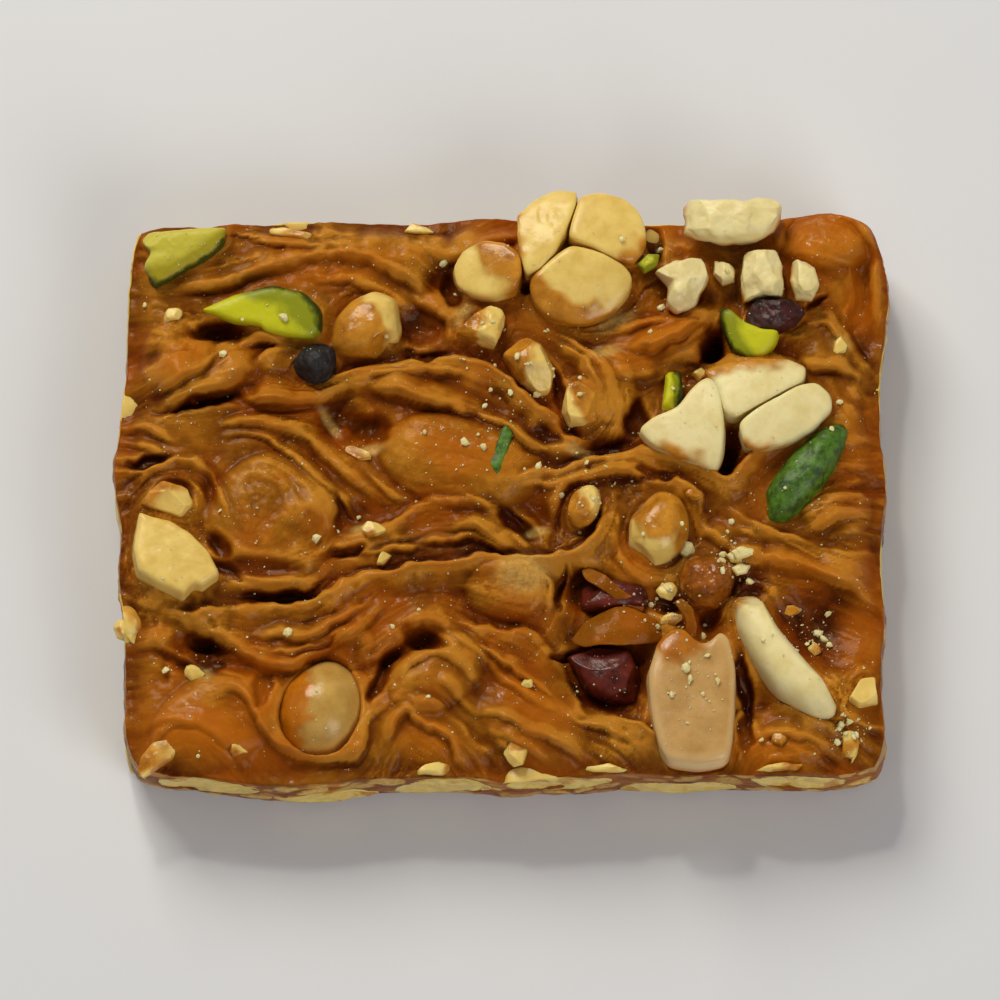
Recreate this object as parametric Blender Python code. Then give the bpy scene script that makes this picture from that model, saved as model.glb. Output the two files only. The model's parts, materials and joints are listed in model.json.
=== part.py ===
"""Peanut gajak: one cut piece of nut brittle that lies flat.

A slab of pulled sugar holds split peanuts, pistachios, a black seed and bits of
red-skinned nut. The slab is one solid with its folds and hollows as relief.
Every nut that shows on top or in a cut side is a solid of its own and sits in
its pocket in the slab. Small fragments are fused to the slab.

All lengths below are millimetres; MM turns them into Blender's metres.
X runs along the slab, Y towards its back edge, Z up. The origin is at the
centre of the underside.
"""

import math

import bmesh
import bpy
import numpy as np
from mathutils import Matrix, Vector

MM = 0.001

# The slab
SLAB_LENGTH = 62.0
SLAB_WIDTH = 46.6
SLAB_TOP = 9.0
LATTICE = 1.45
SIDE_ROWS = 3
BOTTOM_INSET = 0.7
CORNER_CUT = 1.3
RIM_DROP = 0.9
RIM_REACH = 1.6
SIDE_BELLY = 0.25
SIDE_ROUGHNESS = 0.3
TOP_ROUGHNESS = 0.22
GAP = 0.35

# Moves all that was read off the picture so that the piece is centred on the origin.
PLAN_SHIFT = (0.32, -0.36)

# Folds of pulled sugar on the top: the route of each crest, its rise and its half width.
FOLDS = [
    ([(-22.5, 22.2), (-18, 21.3), (-12, 21.9), (-5, 22.2), (0, 23.0), (2, 22.6)], 1.2, 1.6),
    ([(-29, 17.2), (-25, 18.4), (-20, 19.7), (-15, 20.1), (-10, 19.5), (-6, 17.0)], 0.9, 1.2),
    ([(-30, 7.2), (-26, 10.2), (-22, 12.4), (-18, 12.2)], 1.1, 1.6),
    ([(-13, 9.8), (-9, 10.9), (-5, 11.0), (-1, 9.6), (2, 7.2), (5, 4.6)], 1.3, 1.1),
    ([(-22, 8.6), (-18, 7.8), (-13, 8.6), (-8, 9.2), (-4, 8.4), (0, 6.0)], 1.0, 1.0),
    ([(-29, 5.4), (-25, 6.3), (-20, 7.0), (-16, 6.6), (-13, 4.0), (-9, 1.2), (-7, -0.6)], 1.1, 1.3),
    ([(-30, 2.4), (-27, 3.1), (-24, 2.2), (-22.8, -0.4)], 0.8, 1.0),
    ([(-14, -3.4), (-11, -2.0), (-7, -0.6), (-3, -0.8), (0, -2.4), (3, -4.3)], 1.0, 1.2),
    ([(-26.5, -10), (-20, -9.7), (-15, -9.0), (-11, -6.6), (-5, -5.6), (1, -5.2), (6, -4.6), (9, -2.4)],
     1.1, 1.2),
    ([(-25.5, -11), (-22, -12.2), (-17, -12.8), (-12, -13.4), (-8, -11.8), (-4, -10.6)], 0.9, 1.2),
    ([(-21.4, -18.4), (-19, -21.3), (-15, -22.6), (-11.4, -20.4), (-8, -16.8), (-4, -18.2), (0, -20.6)],
     1.0, 1.1),
    ([(-4, -12), (0, -14.5), (4, -17.2), (9, -19.6), (11, -21.6)], 0.8, 1.4),
    ([(4, 0.6), (7, 2.6), (11, 3.0), (14, 1.7), (17, 0.9), (20, 2.0)], 0.9, 1.1),
    ([(4.6, -2.4), (4.4, 0.0), (6.6, 1.6), (9.2, 0.2), (9.2, -3.0), (9.8, -5.6)], 0.8, 0.9),
    ([(16, 0), (19, -2.8), (24, -4.6), (29.5, -7.0)], 1.0, 1.5),
    ([(5.4, 12.6), (9, 14.2), (12.6, 14.0), (16.4, 13.0), (17, 10.8)], 1.0, 1.4),
    ([(8.8, 5.6), (10.6, 8.0), (10.4, 11.0), (7.4, 11.6)], 1.0, 1.2),
    ([(17, 11.6), (21, 10.9), (25.4, 11.3), (29.6, 12.4)], 0.9, 0.9),
    ([(28.6, 20), (29.8, 17), (29.6, 13)], 0.9, 1.2),
    ([(19.6, -20.9), (22.5, -20.2), (26, -20.8)], 0.8, 1.3),
]

# Nuts that lie wholly under the sugar: centre, length, width, turn and rise.
COVERED_NUTS = [
    ((-3.6, 3.0), 14.0, 8.4, -12, 1.7),
    ((-19.2, -2.4), 12.5, 11.0, 60, 1.5),
    ((0.3, -8.0), 8.0, 5.4, 0, 1.3),
    ((-23.5, -18.5), 12.0, 8.5, 30, 1.0),
    ((-5.4, -15.0), 9.0, 6.0, 35, 1.1),
    ((26.8, 22.0), 9.5, 6.6, 0, 1.4),
    ((13.4, 12.2), 9.0, 5.0, 15, 0.8),
    ((-26.6, 12.6), 8.0, 6.0, 40, 0.6),
    ((2.5, -19.5), 10.0, 6.5, -35, 0.6),
    ((27.5, -1.2), 6.0, 5.0, 0, 0.7),
]

# Deep places between the folds: centre, length, width, turn and depth.
HOLLOWS = [
    ((-12.2, 6.0), 6.0, 5.6, 0, 3.0),
    ((-23.0, 14.2), 9.0, 2.6, -8, 1.6),
    ((-4.8, 18.6), 4.0, 3.6, 0, 1.8),
    ((9.4, 4.6), 6.0, 2.4, 15, 2.2),
    ((3.2, -2.2), 5.0, 3.0, -30, 1.8),
    ((-11.6, -1.6), 5.0, 2.6, 10, 1.6),
    ((-19.0, -8.3), 9.0, 2.2, 0, 1.4),
    ((-24.4, -12.0), 4.0, 3.0, 0, 1.8),
    ((-9.0, -13.6), 5.0, 3.4, 20, 1.8),
    ((-15.0, -18.0), 11.5, 10.0, 70, 2.4),
    ((5.0, -8.0), 3.4, 4.0, 0, 1.8),
    ((9.0, -14.6), 9.0, 7.4, 0, 2.2),
    ((10.0, -8.4), 8.0, 4.0, 0, 1.6),
    ((26.0, -11.2), 9.0, 7.6, -30, 2.0),
    ((20.8, -17.2), 4.0, 5.0, 30, 2.0),
    ((17.6, 12.8), 3.0, 5.0, 0, 1.6),
    ((19.0, 4.0), 3.0, 4.0, 0, 1.6),
]

# Where the cut edge bulges: side, place along it, outward reach and half width.
EDGE_BULGES = [
    ("left", 2.0, 1.2, 5.0),
    ("left", -6.5, 0.6, 2.6),
    ("left", -21.0, 0.3, 3.0),
    ("right", 18.0, 0.7, 5.0),
    ("right", 1.5, 0.4, 3.0),
    ("right", -11.0, 0.2, 2.5),
    ("right", -21.0, 0.5, 3.0),
    ("front", -18.0, 0.8, 9.0),
    ("front", 2.0, 0.5, 6.0),
    ("back", 26.5, 1.0, 5.0),
    ("back", -2.0, 0.5, 5.0),
]


def turned(points, centre, degrees):
    """Plan points turned about the origin and moved to the centre."""
    angle = math.radians(degrees)
    cos_a, sin_a = math.cos(angle), math.sin(angle)
    return [(centre[0] + x * cos_a - y * sin_a, centre[1] + x * sin_a + y * cos_a) for x, y in points]


def oval(centre, length, width, degrees, blunt=2.0, egg=0.0, count=12):
    """A superellipse in plan; egg narrows its far end and blunt squares it."""
    points = []
    for index in range(count):
        angle = 2 * math.pi * index / count
        along = math.copysign(abs(math.cos(angle)) ** (2 / blunt), math.cos(angle))
        across = math.copysign(abs(math.sin(angle)) ** (2 / blunt), math.sin(angle))
        points.append((length / 2 * along, width / 2 * across * (1 - egg * along)))
    return turned(points, centre, degrees)


# Nuts that show on top: outline in plan, lowest and highest level, how round the
# top is (1 a dome, 0.3 nearly flat), tilt about X and Y in degrees, and material.
TOP_NUTS = {
    "pistachio_wedge": ([(-29.8, 19.6), (-28.9, 17.7), (-25.0, 19.8), (-23.2, 21.2), (-22.9, 22.8),
                         (-26.5, 22.6), (-29.7, 22.1)], 7.2, 10.7, 0.35, (8, 0), "pistachio_pale"),
    "pistachio_half": ([(-24.8, 15.7), (-22.0, 17.0), (-19.0, 17.8), (-16.6, 17.3), (-15.1, 15.9),
                        (-15.0, 14.1), (-16.2, 13.4), (-20.4, 14.2), (-22.5, 14.9)],
                       7.0, 10.7, 0.35, (8, -3), "pistachio"),
    "black_seed": (oval((-15.4, 11.2), 3.5, 3.2, 20, count=10), 7.8, 11.0, 1.0, (0, 0), "seed"),
    "coated_half": ([(-14.2, 12.4), (-12.6, 11.9), (-9.0, 12.0), (-8.5, 14.0), (-8.8, 16.8),
                     (-10.6, 17.5), (-12.4, 16.6), (-13.9, 15.0)], 7.0, 11.0, 0.7, (0, -6), "peanut"),
    "cracked_peanut_left": ([(-4.0, 19.2), (-3.2, 17.4), (-0.2, 17.0), (1.0, 17.6), (1.0, 19.6),
                             (0.0, 20.7), (-2.6, 20.8)], 7.4, 11.4, 0.6, (0, -5), "peanut"),
    "cracked_peanut_top": ([(1.8, 23.6), (5.5, 25.2), (6.0, 24.4), (5.0, 21.6), (3.9, 19.6),
                            (2.2, 18.6), (1.6, 21.0)], 8.0, 12.1, 0.45, (6, 4), "peanut"),
    "cracked_peanut_right": ([(6.8, 24.9), (9.8, 24.7), (11.2, 23.0), (11.3, 20.6), (9.6, 20.0),
                              (6.8, 20.9), (5.8, 22.0)], 7.4, 12.1, 0.8, (4, 4), "peanut"),
    "cracked_peanut_front": ([(2.9, 17.6), (4.0, 15.7), (7.0, 15.0), (9.4, 16.2), (10.2, 18.2),
                              (8.9, 19.1), (6.4, 20.0), (4.7, 19.1)], 7.0, 11.9, 0.8, (-6, 0), "peanut"),
    "yellow_bit": ([(-4.0, 13.6), (-2.2, 15.5), (-0.7, 16.1), (0.1, 15.0), (-0.4, 13.3), (-0.7, 12.5),
                    (-2.2, 13.1)], 8.2, 11.4, 0.4, (0, 8), "peanut"),
    "broken_film": ([(-0.1, 11.8), (1.6, 13.3), (3.4, 12.5), (4.2, 10.6), (3.8, 8.7), (2.7, 8.5),
                     (1.0, 10.1)], 7.8, 11.4, 0.6, (0, 6), "peanut"),
    "broken_low": ([(4.8, 7.2), (5.4, 9.2), (6.4, 9.6), (7.9, 8.4), (8.1, 6.5), (6.6, 5.8), (5.3, 5.9)],
                   7.6, 11.0, 0.6, (0, -8), "peanut"),
    "white_block": ([(15.0, 24.7), (14.9, 21.8), (17.6, 21.2), (20.8, 21.4), (22.6, 22.5), (23.1, 24.3),
                     (21.9, 25.2), (20.2, 24.6)], 8.5, 12.3, 0.35, (4, 3), "peanut_white"),
    "white_fork": ([(12.6, 18.8), (14.8, 19.9), (16.2, 20.1), (16.8, 18.4), (15.9, 16.0), (14.4, 15.3),
                    (13.5, 16.0), (13.8, 17.7)], 8.2, 11.8, 0.4, (0, 5), "peanut_white"),
    "white_flake": ([(17.5, 19.9), (19.1, 19.2), (19.0, 18.2), (18.1, 17.9), (17.4, 18.8)],
                    8.4, 10.8, 0.4, (0, 0), "peanut_white"),
    "white_chunk": ([(19.9, 20.4), (22.5, 20.6), (23.2, 18.8), (23.0, 16.7), (21.4, 16.8), (19.8, 16.4),
                     (19.7, 18.4)], 8.0, 11.8, 0.4, (3, 0), "peanut_white"),
    "white_strip": ([(24.0, 19.8), (25.6, 19.4), (26.0, 17.6), (25.4, 16.5), (24.2, 16.6), (23.9, 18.2)],
                    8.2, 11.3, 0.4, (0, 8), "peanut_white"),
    "dark_bit": ([(20.3, 15.2), (21.0, 15.8), (23.6, 15.9), (24.6, 15.4), (24.0, 14.5), (21.9, 14.2)],
                 8.3, 10.9, 0.7, (0, 0), "red_skin"),
    "pistachio_moon": ([(18.1, 15.0), (18.5, 13.0), (19.9, 11.6), (21.6, 11.8), (22.5, 13.2),
                        (21.4, 13.5), (19.8, 14.5)], 8.0, 10.8, 0.4, (6, 0), "pistachio"),
    "pistachio_sliver": ([(13.1, 7.2), (13.5, 10.1), (14.5, 10.3), (14.7, 8.6), (14.2, 7.1)],
                         8.7, 10.9, 0.5, (0, 0), "pistachio"),
    "white_peanut_left": ([(11.1, 4.9), (12.9, 6.1), (15.1, 6.6), (15.7, 8.6), (17.0, 9.0), (17.8, 6.6),
                           (18.0, 4.2), (17.4, 2.0), (14.6, 3.0)], 7.0, 11.7, 0.7, (0, -5), "peanut_white"),
    "white_peanut_middle": ([(17.0, 9.9), (19.2, 10.3), (23.4, 10.4), (22.5, 8.7), (20.2, 7.4),
                             (18.6, 6.6), (18.3, 7.8)], 7.4, 11.9, 0.6, (5, 0), "peanut_white"),
    "white_peanut_right": ([(19.7, 5.8), (21.6, 7.3), (24.6, 8.9), (26.0, 8.6), (26.7, 7.3), (23.8, 4.5),
                            (20.5, 4.1)], 7.0, 11.6, 0.6, (-4, 4), "peanut_white"),
    "pistachio_whole": (oval((25.0, 2.0), 11.0, 3.9, 52, egg=0.15, count=14), 7.0, 11.2, 0.9, (0, 0),
                        "pistachio_dark"),
    "cream_shard": ([(-30.3, -4.8), (-29.7, -2.3), (-28.4, -2.5), (-26.2, -3.5), (-24.8, -5.4),
                     (-23.6, -6.8), (-24.5, -8.0), (-25.9, -8.7), (-29.2, -7.4)],
                    7.0, 11.2, 0.4, (-5, 3), "peanut"),
    "cream_shard_top": ([(-30.0, -0.6), (-28.2, 1.1), (-26.1, 0.4), (-25.6, -0.9), (-26.6, -2.0),
                         (-28.6, -1.3)], 7.4, 10.7, 0.5, (0, 0), "peanut"),
    "whole_peanut": (oval((-15.0, -17.8), 9.2, 7.6, 70, egg=0.12, count=14), 4.2, 10.4, 1.0, (0, 0),
                     "peanut_tan"),
    "oval_bit": (oval((6.7, -0.9), 3.6, 2.4, 65, count=10), 8.4, 10.9, 0.9, (0, 0), "peanut"),
    "olive_nut": (oval((12.8, -2.8), 6.4, 4.8, 75, count=12), 7.0, 11.0, 0.9, (0, 0), "peanut"),
    "red_nut_large": ([(5.2, -13.4), (7.4, -12.7), (10.4, -12.8), (11.2, -15.0), (11.1, -17.3),
                       (8.8, -17.2), (6.8, -16.2)], 5.6, 9.2, 0.7, (0, 0), "red_skin"),
    "red_nut_small": ([(6.4, -9.4), (6.6, -7.5), (9.0, -6.9), (11.8, -7.6), (12.2, -9.2), (9.6, -9.6)],
                      6.4, 9.2, 0.7, (0, 0), "red_skin"),
    "peanut_half_flat": (oval((15.4, -17.3), 12.2, 6.8, 90, blunt=2.5, egg=0.06, count=14),
                         6.8, 10.6, 0.3, (-4, 2), "peanut_tan"),
    "peanut_half_curved": ([(18.9, -9.2), (19.8, -8.0), (20.9, -8.4), (22.6, -11.4), (25.4, -14.8),
                            (27.5, -17.0), (27.3, -18.8), (25.6, -19.0), (22.5, -17.1), (20.4, -14.0),
                            (19.2, -11.4)], 6.4, 11.8, 0.7, (0, 0), "peanut_white"),
    "cream_edge_bit": ([(28.3, -17.3), (29.4, -15.6), (30.6, -15.4), (30.8, -17.5), (29.2, -18.0)],
                       6.8, 10.2, 0.5, (0, 0), "peanut"),
    "coated_ball": (oval((16.7, -7.1), 4.4, 4.4, 0, count=12), 6.8, 11.0, 1.0, (0, 0), "coated"),
}

# Nuts cut through at the sides: place along the side, level, half length, half
# height, depth into the slab and turn in the plane of the side in degrees.
SIDE_NUTS = {
    "left": [(17.5, 5.6, 5.2, 2.3, 1.3, 6), (8.2, 5.8, 3.6, 2.1, 3.0, -10), (-0.4, 3.7, 4.6, 1.9, 3.0, 8),
             (-10.6, 5.9, 3.0, 2.1, 2.2, 14), (-18.2, 3.4, 4.0, 1.9, 3.0, -6)],
    "right": [(19.4, 3.5, 3.2, 1.9, 3.0, 8), (11.4, 5.8, 3.8, 2.0, 2.6, -8), (2.2, 3.8, 4.4, 2.0, 2.8, 5),
              (-6.4, 5.8, 3.4, 1.9, 3.0, 12), (-15.4, 3.6, 4.4, 1.9, 3.0, -7)],
    "front": [(-24.6, 5.4, 4.2, 2.0, 3.2, 8), (-14.6, 2.9, 4.2, 1.5, 2.4, -4), (-5.2, 4.8, 4.0, 2.2, 3.4, 16),
              (4.4, 6.2, 4.4, 1.9, 3.0, -6), (14.4, 3.5, 4.6, 1.9, 3.0, 4), (24.4, 5.4, 4.2, 2.0, 2.8, -8)],
    "back": [(-26.0, 3.8, 4.0, 1.9, 3.0, -6), (-17.2, 6.2, 3.4, 1.9, 2.0, 5), (-8.4, 4.2, 4.2, 2.1, 3.2, 12),
             (2.6, 4.4, 4.6, 2.0, 3.0, -5), (12.2, 5.6, 3.4, 1.8, 2.6, 10), (20.0, 3.4, 3.6, 1.8, 3.0, -8),
             (27.0, 5.6, 2.9, 2.0, 2.6, 5)],
}
CUT_PROUD = 0.35
CUT_LUMPS = 0.09

# Small fragments fused to the slab: centre, length, width and turn.
FRAGMENTS = [
    ((13.8, -10.4), 1.8, 1.3, 20), ((19.2, -5.3), 2.0, 1.1, -10), ((23.7, -9.3), 1.5, 1.2, 0),
    ((25.6, -12.6), 1.2, 0.9, 40), ((15.6, 0.0), 1.3, 1.0, 0), ((27.8, 12.8), 1.7, 1.4, 80),
    ((28.4, -21.0), 3.0, 1.7, 100), ((1.0, -21.6), 2.6, 2.0, 60), ((-28.4, -21.8), 4.4, 1.7, 48),
    ((-10.8, -3.1), 2.0, 1.2, 10), ((-10.0, -5.4), 1.2, 1.0, 0), ((16.3, 10.4), 1.6, 1.0, 10),
    ((11.6, 19.8), 1.7, 0.9, 20), ((-27.4, 15.4), 1.6, 1.2, 30), ((-12.0, 3.6), 2.4, 1.0, -20),
    ((2.0, -16.0), 1.2, 0.9, 0), ((-22.0, -21.6), 1.3, 1.0, 0), ((22.8, -20.6), 1.3, 1.0, 30),
]
FRAGMENT_PROUD = 0.75
FRAGMENT_SUNK = 0.9

# Colours as linear RGB with roughness, for a first look.
MATERIALS = {
    "caramel": ((0.26, 0.085, 0.007), 0.25),
    "peanut": ((0.70, 0.50, 0.17), 0.45),
    "peanut_white": ((0.80, 0.66, 0.33), 0.5),
    "peanut_tan": ((0.46, 0.25, 0.07), 0.45),
    "coated": ((0.22, 0.06, 0.008), 0.25),
    "pistachio": ((0.30, 0.27, 0.01), 0.4),
    "pistachio_pale": ((0.40, 0.34, 0.05), 0.5),
    "pistachio_dark": ((0.09, 0.12, 0.015), 0.5),
    "seed": ((0.015, 0.012, 0.013), 0.4),
    "red_skin": ((0.06, 0.012, 0.007), 0.35),
}

RIPPLE_SEED = 11
RIPPLE_WAVES = 7


def ripple(x, y, shortest, longest, seed):
    """Seeded sum of plane waves, about -1 to 1, as a smooth unevenness."""
    draws = np.random.default_rng(seed)
    total = np.zeros_like(x, dtype=float)
    for _ in range(RIPPLE_WAVES):
        heading = draws.uniform(0, math.tau)
        wavelength = draws.uniform(shortest, longest)
        phase = draws.uniform(0, math.tau)
        total += np.sin((x * math.cos(heading) + y * math.sin(heading)) * math.tau / wavelength + phase)
    return total / math.sqrt(RIPPLE_WAVES)


def smooth_route(points, steps=8):
    """Points along a Catmull-Rom curve through the hand-chosen ones."""
    knots = np.array(points, dtype=float)
    ends = np.vstack([2 * knots[0] - knots[1], knots, 2 * knots[-1] - knots[-2]])
    route = []
    for index in range(1, len(ends) - 2):
        before, start, stop, after = ends[index - 1:index + 3]
        for t in np.arange(steps) / steps:
            route.append(0.5 * (2 * start + (stop - before) * t
                                + (2 * before - 5 * start + 4 * stop - after) * t ** 2
                                + (3 * start - before - 3 * stop + after) * t ** 3))
    route.append(knots[-1])
    return np.array(route)


def oval_reach(x, y, centre, length, width, degrees):
    """Squared distance from an oval's centre, 1 on its outline."""
    angle = math.radians(degrees)
    dx, dy = x - centre[0], y - centre[1]
    along = (dx * math.cos(angle) + dy * math.sin(angle)) / (length / 2)
    across = (dy * math.cos(angle) - dx * math.sin(angle)) / (width / 2)
    return along ** 2 + across ** 2


def top_level(x, y):
    """Height of the slab's top: domes over nuts, folds, hollows, unevenness and a lower rim."""
    level = np.full_like(x, SLAB_TOP, dtype=float)
    for centre, length, width, degrees, rise in COVERED_NUTS:
        reach = oval_reach(x, y, centre, length, width, degrees)
        level += rise * np.sqrt(np.clip(1 - reach, 0, None))
    crest = np.zeros_like(level)
    for points, rise, half_width in FOLDS:
        route = smooth_route(points)
        gap = np.sqrt((x[..., None] - route[:, 0]) ** 2 + (y[..., None] - route[:, 1]) ** 2).min(axis=-1)
        crest = np.maximum(crest, rise * np.exp(-(gap / half_width) ** 2))
    level += crest
    for centre, length, width, degrees, depth in HOLLOWS:
        reach = oval_reach(x, y, centre, length, width, degrees)
        level -= depth * np.exp(-1.6 * reach)
    level += TOP_ROUGHNESS * ripple(x, y, 4.5, 11.0, RIPPLE_SEED)
    to_edge = np.minimum(SLAB_LENGTH / 2 - np.abs(x), SLAB_WIDTH / 2 - np.abs(y))
    return level - RIM_DROP * np.exp(-(np.clip(to_edge, 0, None) / RIM_REACH) ** 2)


def edge_offset(side, along):
    """How far the cut edge stands out from the plain rectangle."""
    offset = 0.18 * ripple(along, 0 * along, 5.0, 16.0, RIPPLE_SEED + len(side))
    for bulge_side, place, outward, reach in EDGE_BULGES:
        if bulge_side == side:
            offset = offset + outward * np.exp(-((along - place) / reach) ** 2)
    return offset


def slab_lattice():
    """Rows of plan points and levels over the slab's top."""
    columns = round(SLAB_LENGTH / LATTICE)
    rows = round(SLAB_WIDTH / LATTICE)
    u, v = np.meshgrid(np.linspace(0, 1, columns + 1), np.linspace(0, 1, rows + 1))
    plain_x = (u - 0.5) * SLAB_LENGTH
    plain_y = (v - 0.5) * SLAB_WIDTH
    x = plain_x + u * edge_offset("right", plain_y) - (1 - u) * edge_offset("left", plain_y)
    y = plain_y + v * edge_offset("back", plain_x) - (1 - v) * edge_offset("front", plain_x)
    corner = np.abs(2 * u - 1) ** 12 * np.abs(2 * v - 1) ** 10
    x -= np.sign(plain_x) * CORNER_CUT * corner
    y -= np.sign(plain_y) * CORNER_CUT * corner
    return x, y, top_level(x, y)


def slab_mesh():
    """Top lattice, rough cut sides and flat underside as one closed skin."""
    x, y, z = slab_lattice()
    rows, columns = x.shape
    points = [(x[j, i], y[j, i], z[j, i]) for j in range(rows) for i in range(columns)]
    faces = []
    for j in range(rows - 1):
        for i in range(columns - 1):
            corner = j * columns + i
            faces.append((corner, corner + 1, corner + columns + 1, corner + columns))
    rim = [i for i in range(columns)]
    rim += [j * columns + columns - 1 for j in range(1, rows)]
    rim += [(rows - 1) * columns + i for i in range(columns - 2, -1, -1)]
    rim += [j * columns for j in range(rows - 2, 0, -1)]
    ring = np.array([points[index] for index in rim])
    ahead = np.roll(ring, -1, axis=0) - np.roll(ring, 1, axis=0)
    outward = np.stack([ahead[:, 1], -ahead[:, 0]], axis=1)
    outward /= np.linalg.norm(outward, axis=1)[:, None]
    around = np.arange(len(rim)) * LATTICE
    upper = rim
    for row in range(1, SIDE_ROWS + 1):
        down = row / SIDE_ROWS
        rough = SIDE_ROUGHNESS * ripple(around, 4.0 * down + 0 * around, 4.0, 9.0, RIPPLE_SEED + 1)
        push = SIDE_BELLY * math.sin(math.pi * down) + rough * math.sin(math.pi * down)
        push = push - BOTTOM_INSET * down ** 3
        level = ring[:, 2] * (1 - down)
        first = len(points)
        points += [tuple(p) for p in np.column_stack([ring[:, 0] + outward[:, 0] * push,
                                                      ring[:, 1] + outward[:, 1] * push, level])]
        lower = list(range(first, first + len(rim)))
        for k in range(len(rim)):
            after = (k + 1) % len(rim)
            faces.append((upper[k], lower[k], lower[after], upper[after]))
        upper = lower
    faces.append(tuple(reversed(upper)))
    return points, faces


def nut_mesh(outline, low, high, round_top, tilt, waist=0.55, round_low=0.8):
    """Rings of the outline from a low pole to a high one, tilted about the centre."""
    plan = np.array(outline)
    if np.cross(plan, np.roll(plan, -1, axis=0)).sum() < 0:
        plan = plan[::-1]
    centre = plan.mean(axis=0)
    middle = low + waist * (high - low)
    lean = Matrix.Rotation(math.radians(tilt[0]), 3, "X") @ Matrix.Rotation(math.radians(tilt[1]), 3, "Y")
    levels = [-90, -48, 0, 48, 90]
    points, rings = [], []
    for degrees in levels:
        angle = math.radians(degrees)
        power = round_top if degrees > 0 else round_low
        reach = high - middle if degrees > 0 else middle - low
        narrow = abs(math.cos(angle)) ** power
        rise = math.copysign(abs(math.sin(angle)) ** power, angle) * reach
        ring = [centre] if abs(degrees) == 90 else list(centre + (plan - centre) * narrow)
        rings.append(range(len(points), len(points) + len(ring)))
        for px, py in ring:
            local = lean @ Vector((px - centre[0], py - centre[1], rise))
            points.append((centre[0] + local.x, centre[1] + local.y, middle + local.z))
    return points, skin_rings(rings)


def skin_rings(rings):
    """Faces between rings of points that go anticlockwise, the first one lowest."""
    faces = []
    for lower, upper in zip(rings, rings[1:]):
        count = max(len(lower), len(upper))
        for k in range(count):
            after = (k + 1) % count
            if len(lower) == 1:
                faces.append((lower[0], upper[after], upper[k]))
            elif len(upper) == 1:
                faces.append((lower[k], lower[after], upper[0]))
            else:
                faces.append((lower[k], lower[after], upper[after], upper[k]))
    return faces


def side_nut_mesh(side, along, level, half_length, half_height, depth, degrees):
    """Half an ellipsoid: rings from its deep end to the rim of its flat cut face."""
    count = 10
    turn = math.radians(degrees)
    face = CUT_PROUD + float(edge_offset(side, np.array([along]))[0])
    sections = [(0.0, face - depth), (0.78, face - 0.65 * depth), (1.0, face), (0.0, face)]
    points, rings = [], []
    for narrow, proud in sections:
        steps = [math.tau * k / count for k in range(count)] if narrow else [0.0]
        rings.append(range(len(points), len(points) + len(steps)))
        for step in steps:
            lump = 1 + CUT_LUMPS * math.cos(3 * step + along)
            across = narrow * lump * half_length * math.cos(step)
            up = narrow * lump * half_height * math.sin(step)
            shift = across * math.cos(turn) - up * math.sin(turn)
            rise = across * math.sin(turn) + up * math.cos(turn)
            points.append(on_side(side, along + shift, level + rise, proud))
    return points, skin_rings(rings)


def on_side(side, along, level, proud):
    """A point given by its place along a cut side, its level and how proud it stands."""
    half_length, half_width = SLAB_LENGTH / 2, SLAB_WIDTH / 2
    if side == "front":
        return along, -half_width - proud, level
    if side == "back":
        return along, half_width + proud, level
    if side == "right":
        return half_length + proud, along, level
    return -half_length - proud, along, level


def new_object(name, points, faces, material=None):
    """A mesh object in metres from points in millimetres, in triangles that point out."""
    mesh = bpy.data.meshes.new(name)
    shift_x, shift_y = PLAN_SHIFT
    mesh.from_pydata([((x + shift_x) * MM, (y + shift_y) * MM, z * MM) for x, y, z in points], [], faces)
    shell = bmesh.new()
    shell.from_mesh(mesh)
    bmesh.ops.recalc_face_normals(shell, faces=shell.faces)
    bmesh.ops.triangulate(shell, faces=shell.faces[:])
    shell.to_mesh(mesh)
    shell.free()
    thing = bpy.data.objects.new(name, mesh)
    bpy.context.scene.collection.objects.link(thing)
    if material:
        mesh.materials.append(material)
    return thing


def grown_copy(source, distance):
    """A copy whose skin stands off by the distance, to cut the source's pocket."""
    shell = bmesh.new()
    shell.from_mesh(source.data)
    shell.normal_update()
    moves = [v.normal * v.calc_shell_factor() * distance for v in shell.verts]
    for vert, move in zip(shell.verts, moves):
        vert.co += move
    mesh = bpy.data.meshes.new(source.name + "_pocket")
    shell.to_mesh(mesh)
    shell.free()
    return bpy.data.objects.new(source.name + "_pocket", mesh)


def apply_boolean(target, helpers, operation, solver="EXACT"):
    """One Boolean on a collection of helpers, applied, with the helpers removed."""
    group = bpy.data.collections.new("helpers")
    bpy.context.scene.collection.children.link(group)
    for helper in helpers:
        for owner in list(helper.users_collection):
            owner.objects.unlink(helper)
        group.objects.link(helper)
    modifier = target.modifiers.new("join", "BOOLEAN")
    modifier.operation = operation
    modifier.operand_type = "COLLECTION"
    modifier.collection = group
    modifier.solver = solver
    view = bpy.context.evaluated_depsgraph_get()
    result = bpy.data.meshes.new_from_object(target.evaluated_get(view))
    target.modifiers.clear()
    old = target.data
    target.data = result
    bpy.data.meshes.remove(old)
    for helper in helpers:
        bpy.data.objects.remove(helper)
    bpy.data.collections.remove(group)


def drop_scraps(thing):
    """Split a mesh into triangles and keep the largest piece joined edge to edge."""
    shell = bmesh.new()
    shell.from_mesh(thing.data)
    bmesh.ops.triangulate(shell, faces=shell.faces[:])
    left = set(shell.faces)
    groups = []
    while left:
        stack = [left.pop()]
        group = list(stack)
        while stack:
            for edge in stack.pop().edges:
                for face in edge.link_faces:
                    if face in left:
                        left.remove(face)
                        group.append(face)
                        stack.append(face)
        groups.append(group)
    groups.sort(key=len)
    for group in groups[:-1]:
        bmesh.ops.delete(shell, geom=group, context="FACES")
    shell.to_mesh(thing.data)
    shell.free()


def shade(thing, degrees):
    """Smooth shading with sharp edges past an angle."""
    thing.data.shade_smooth()
    thing.data.set_sharp_from_angle(angle=math.radians(degrees))


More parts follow.
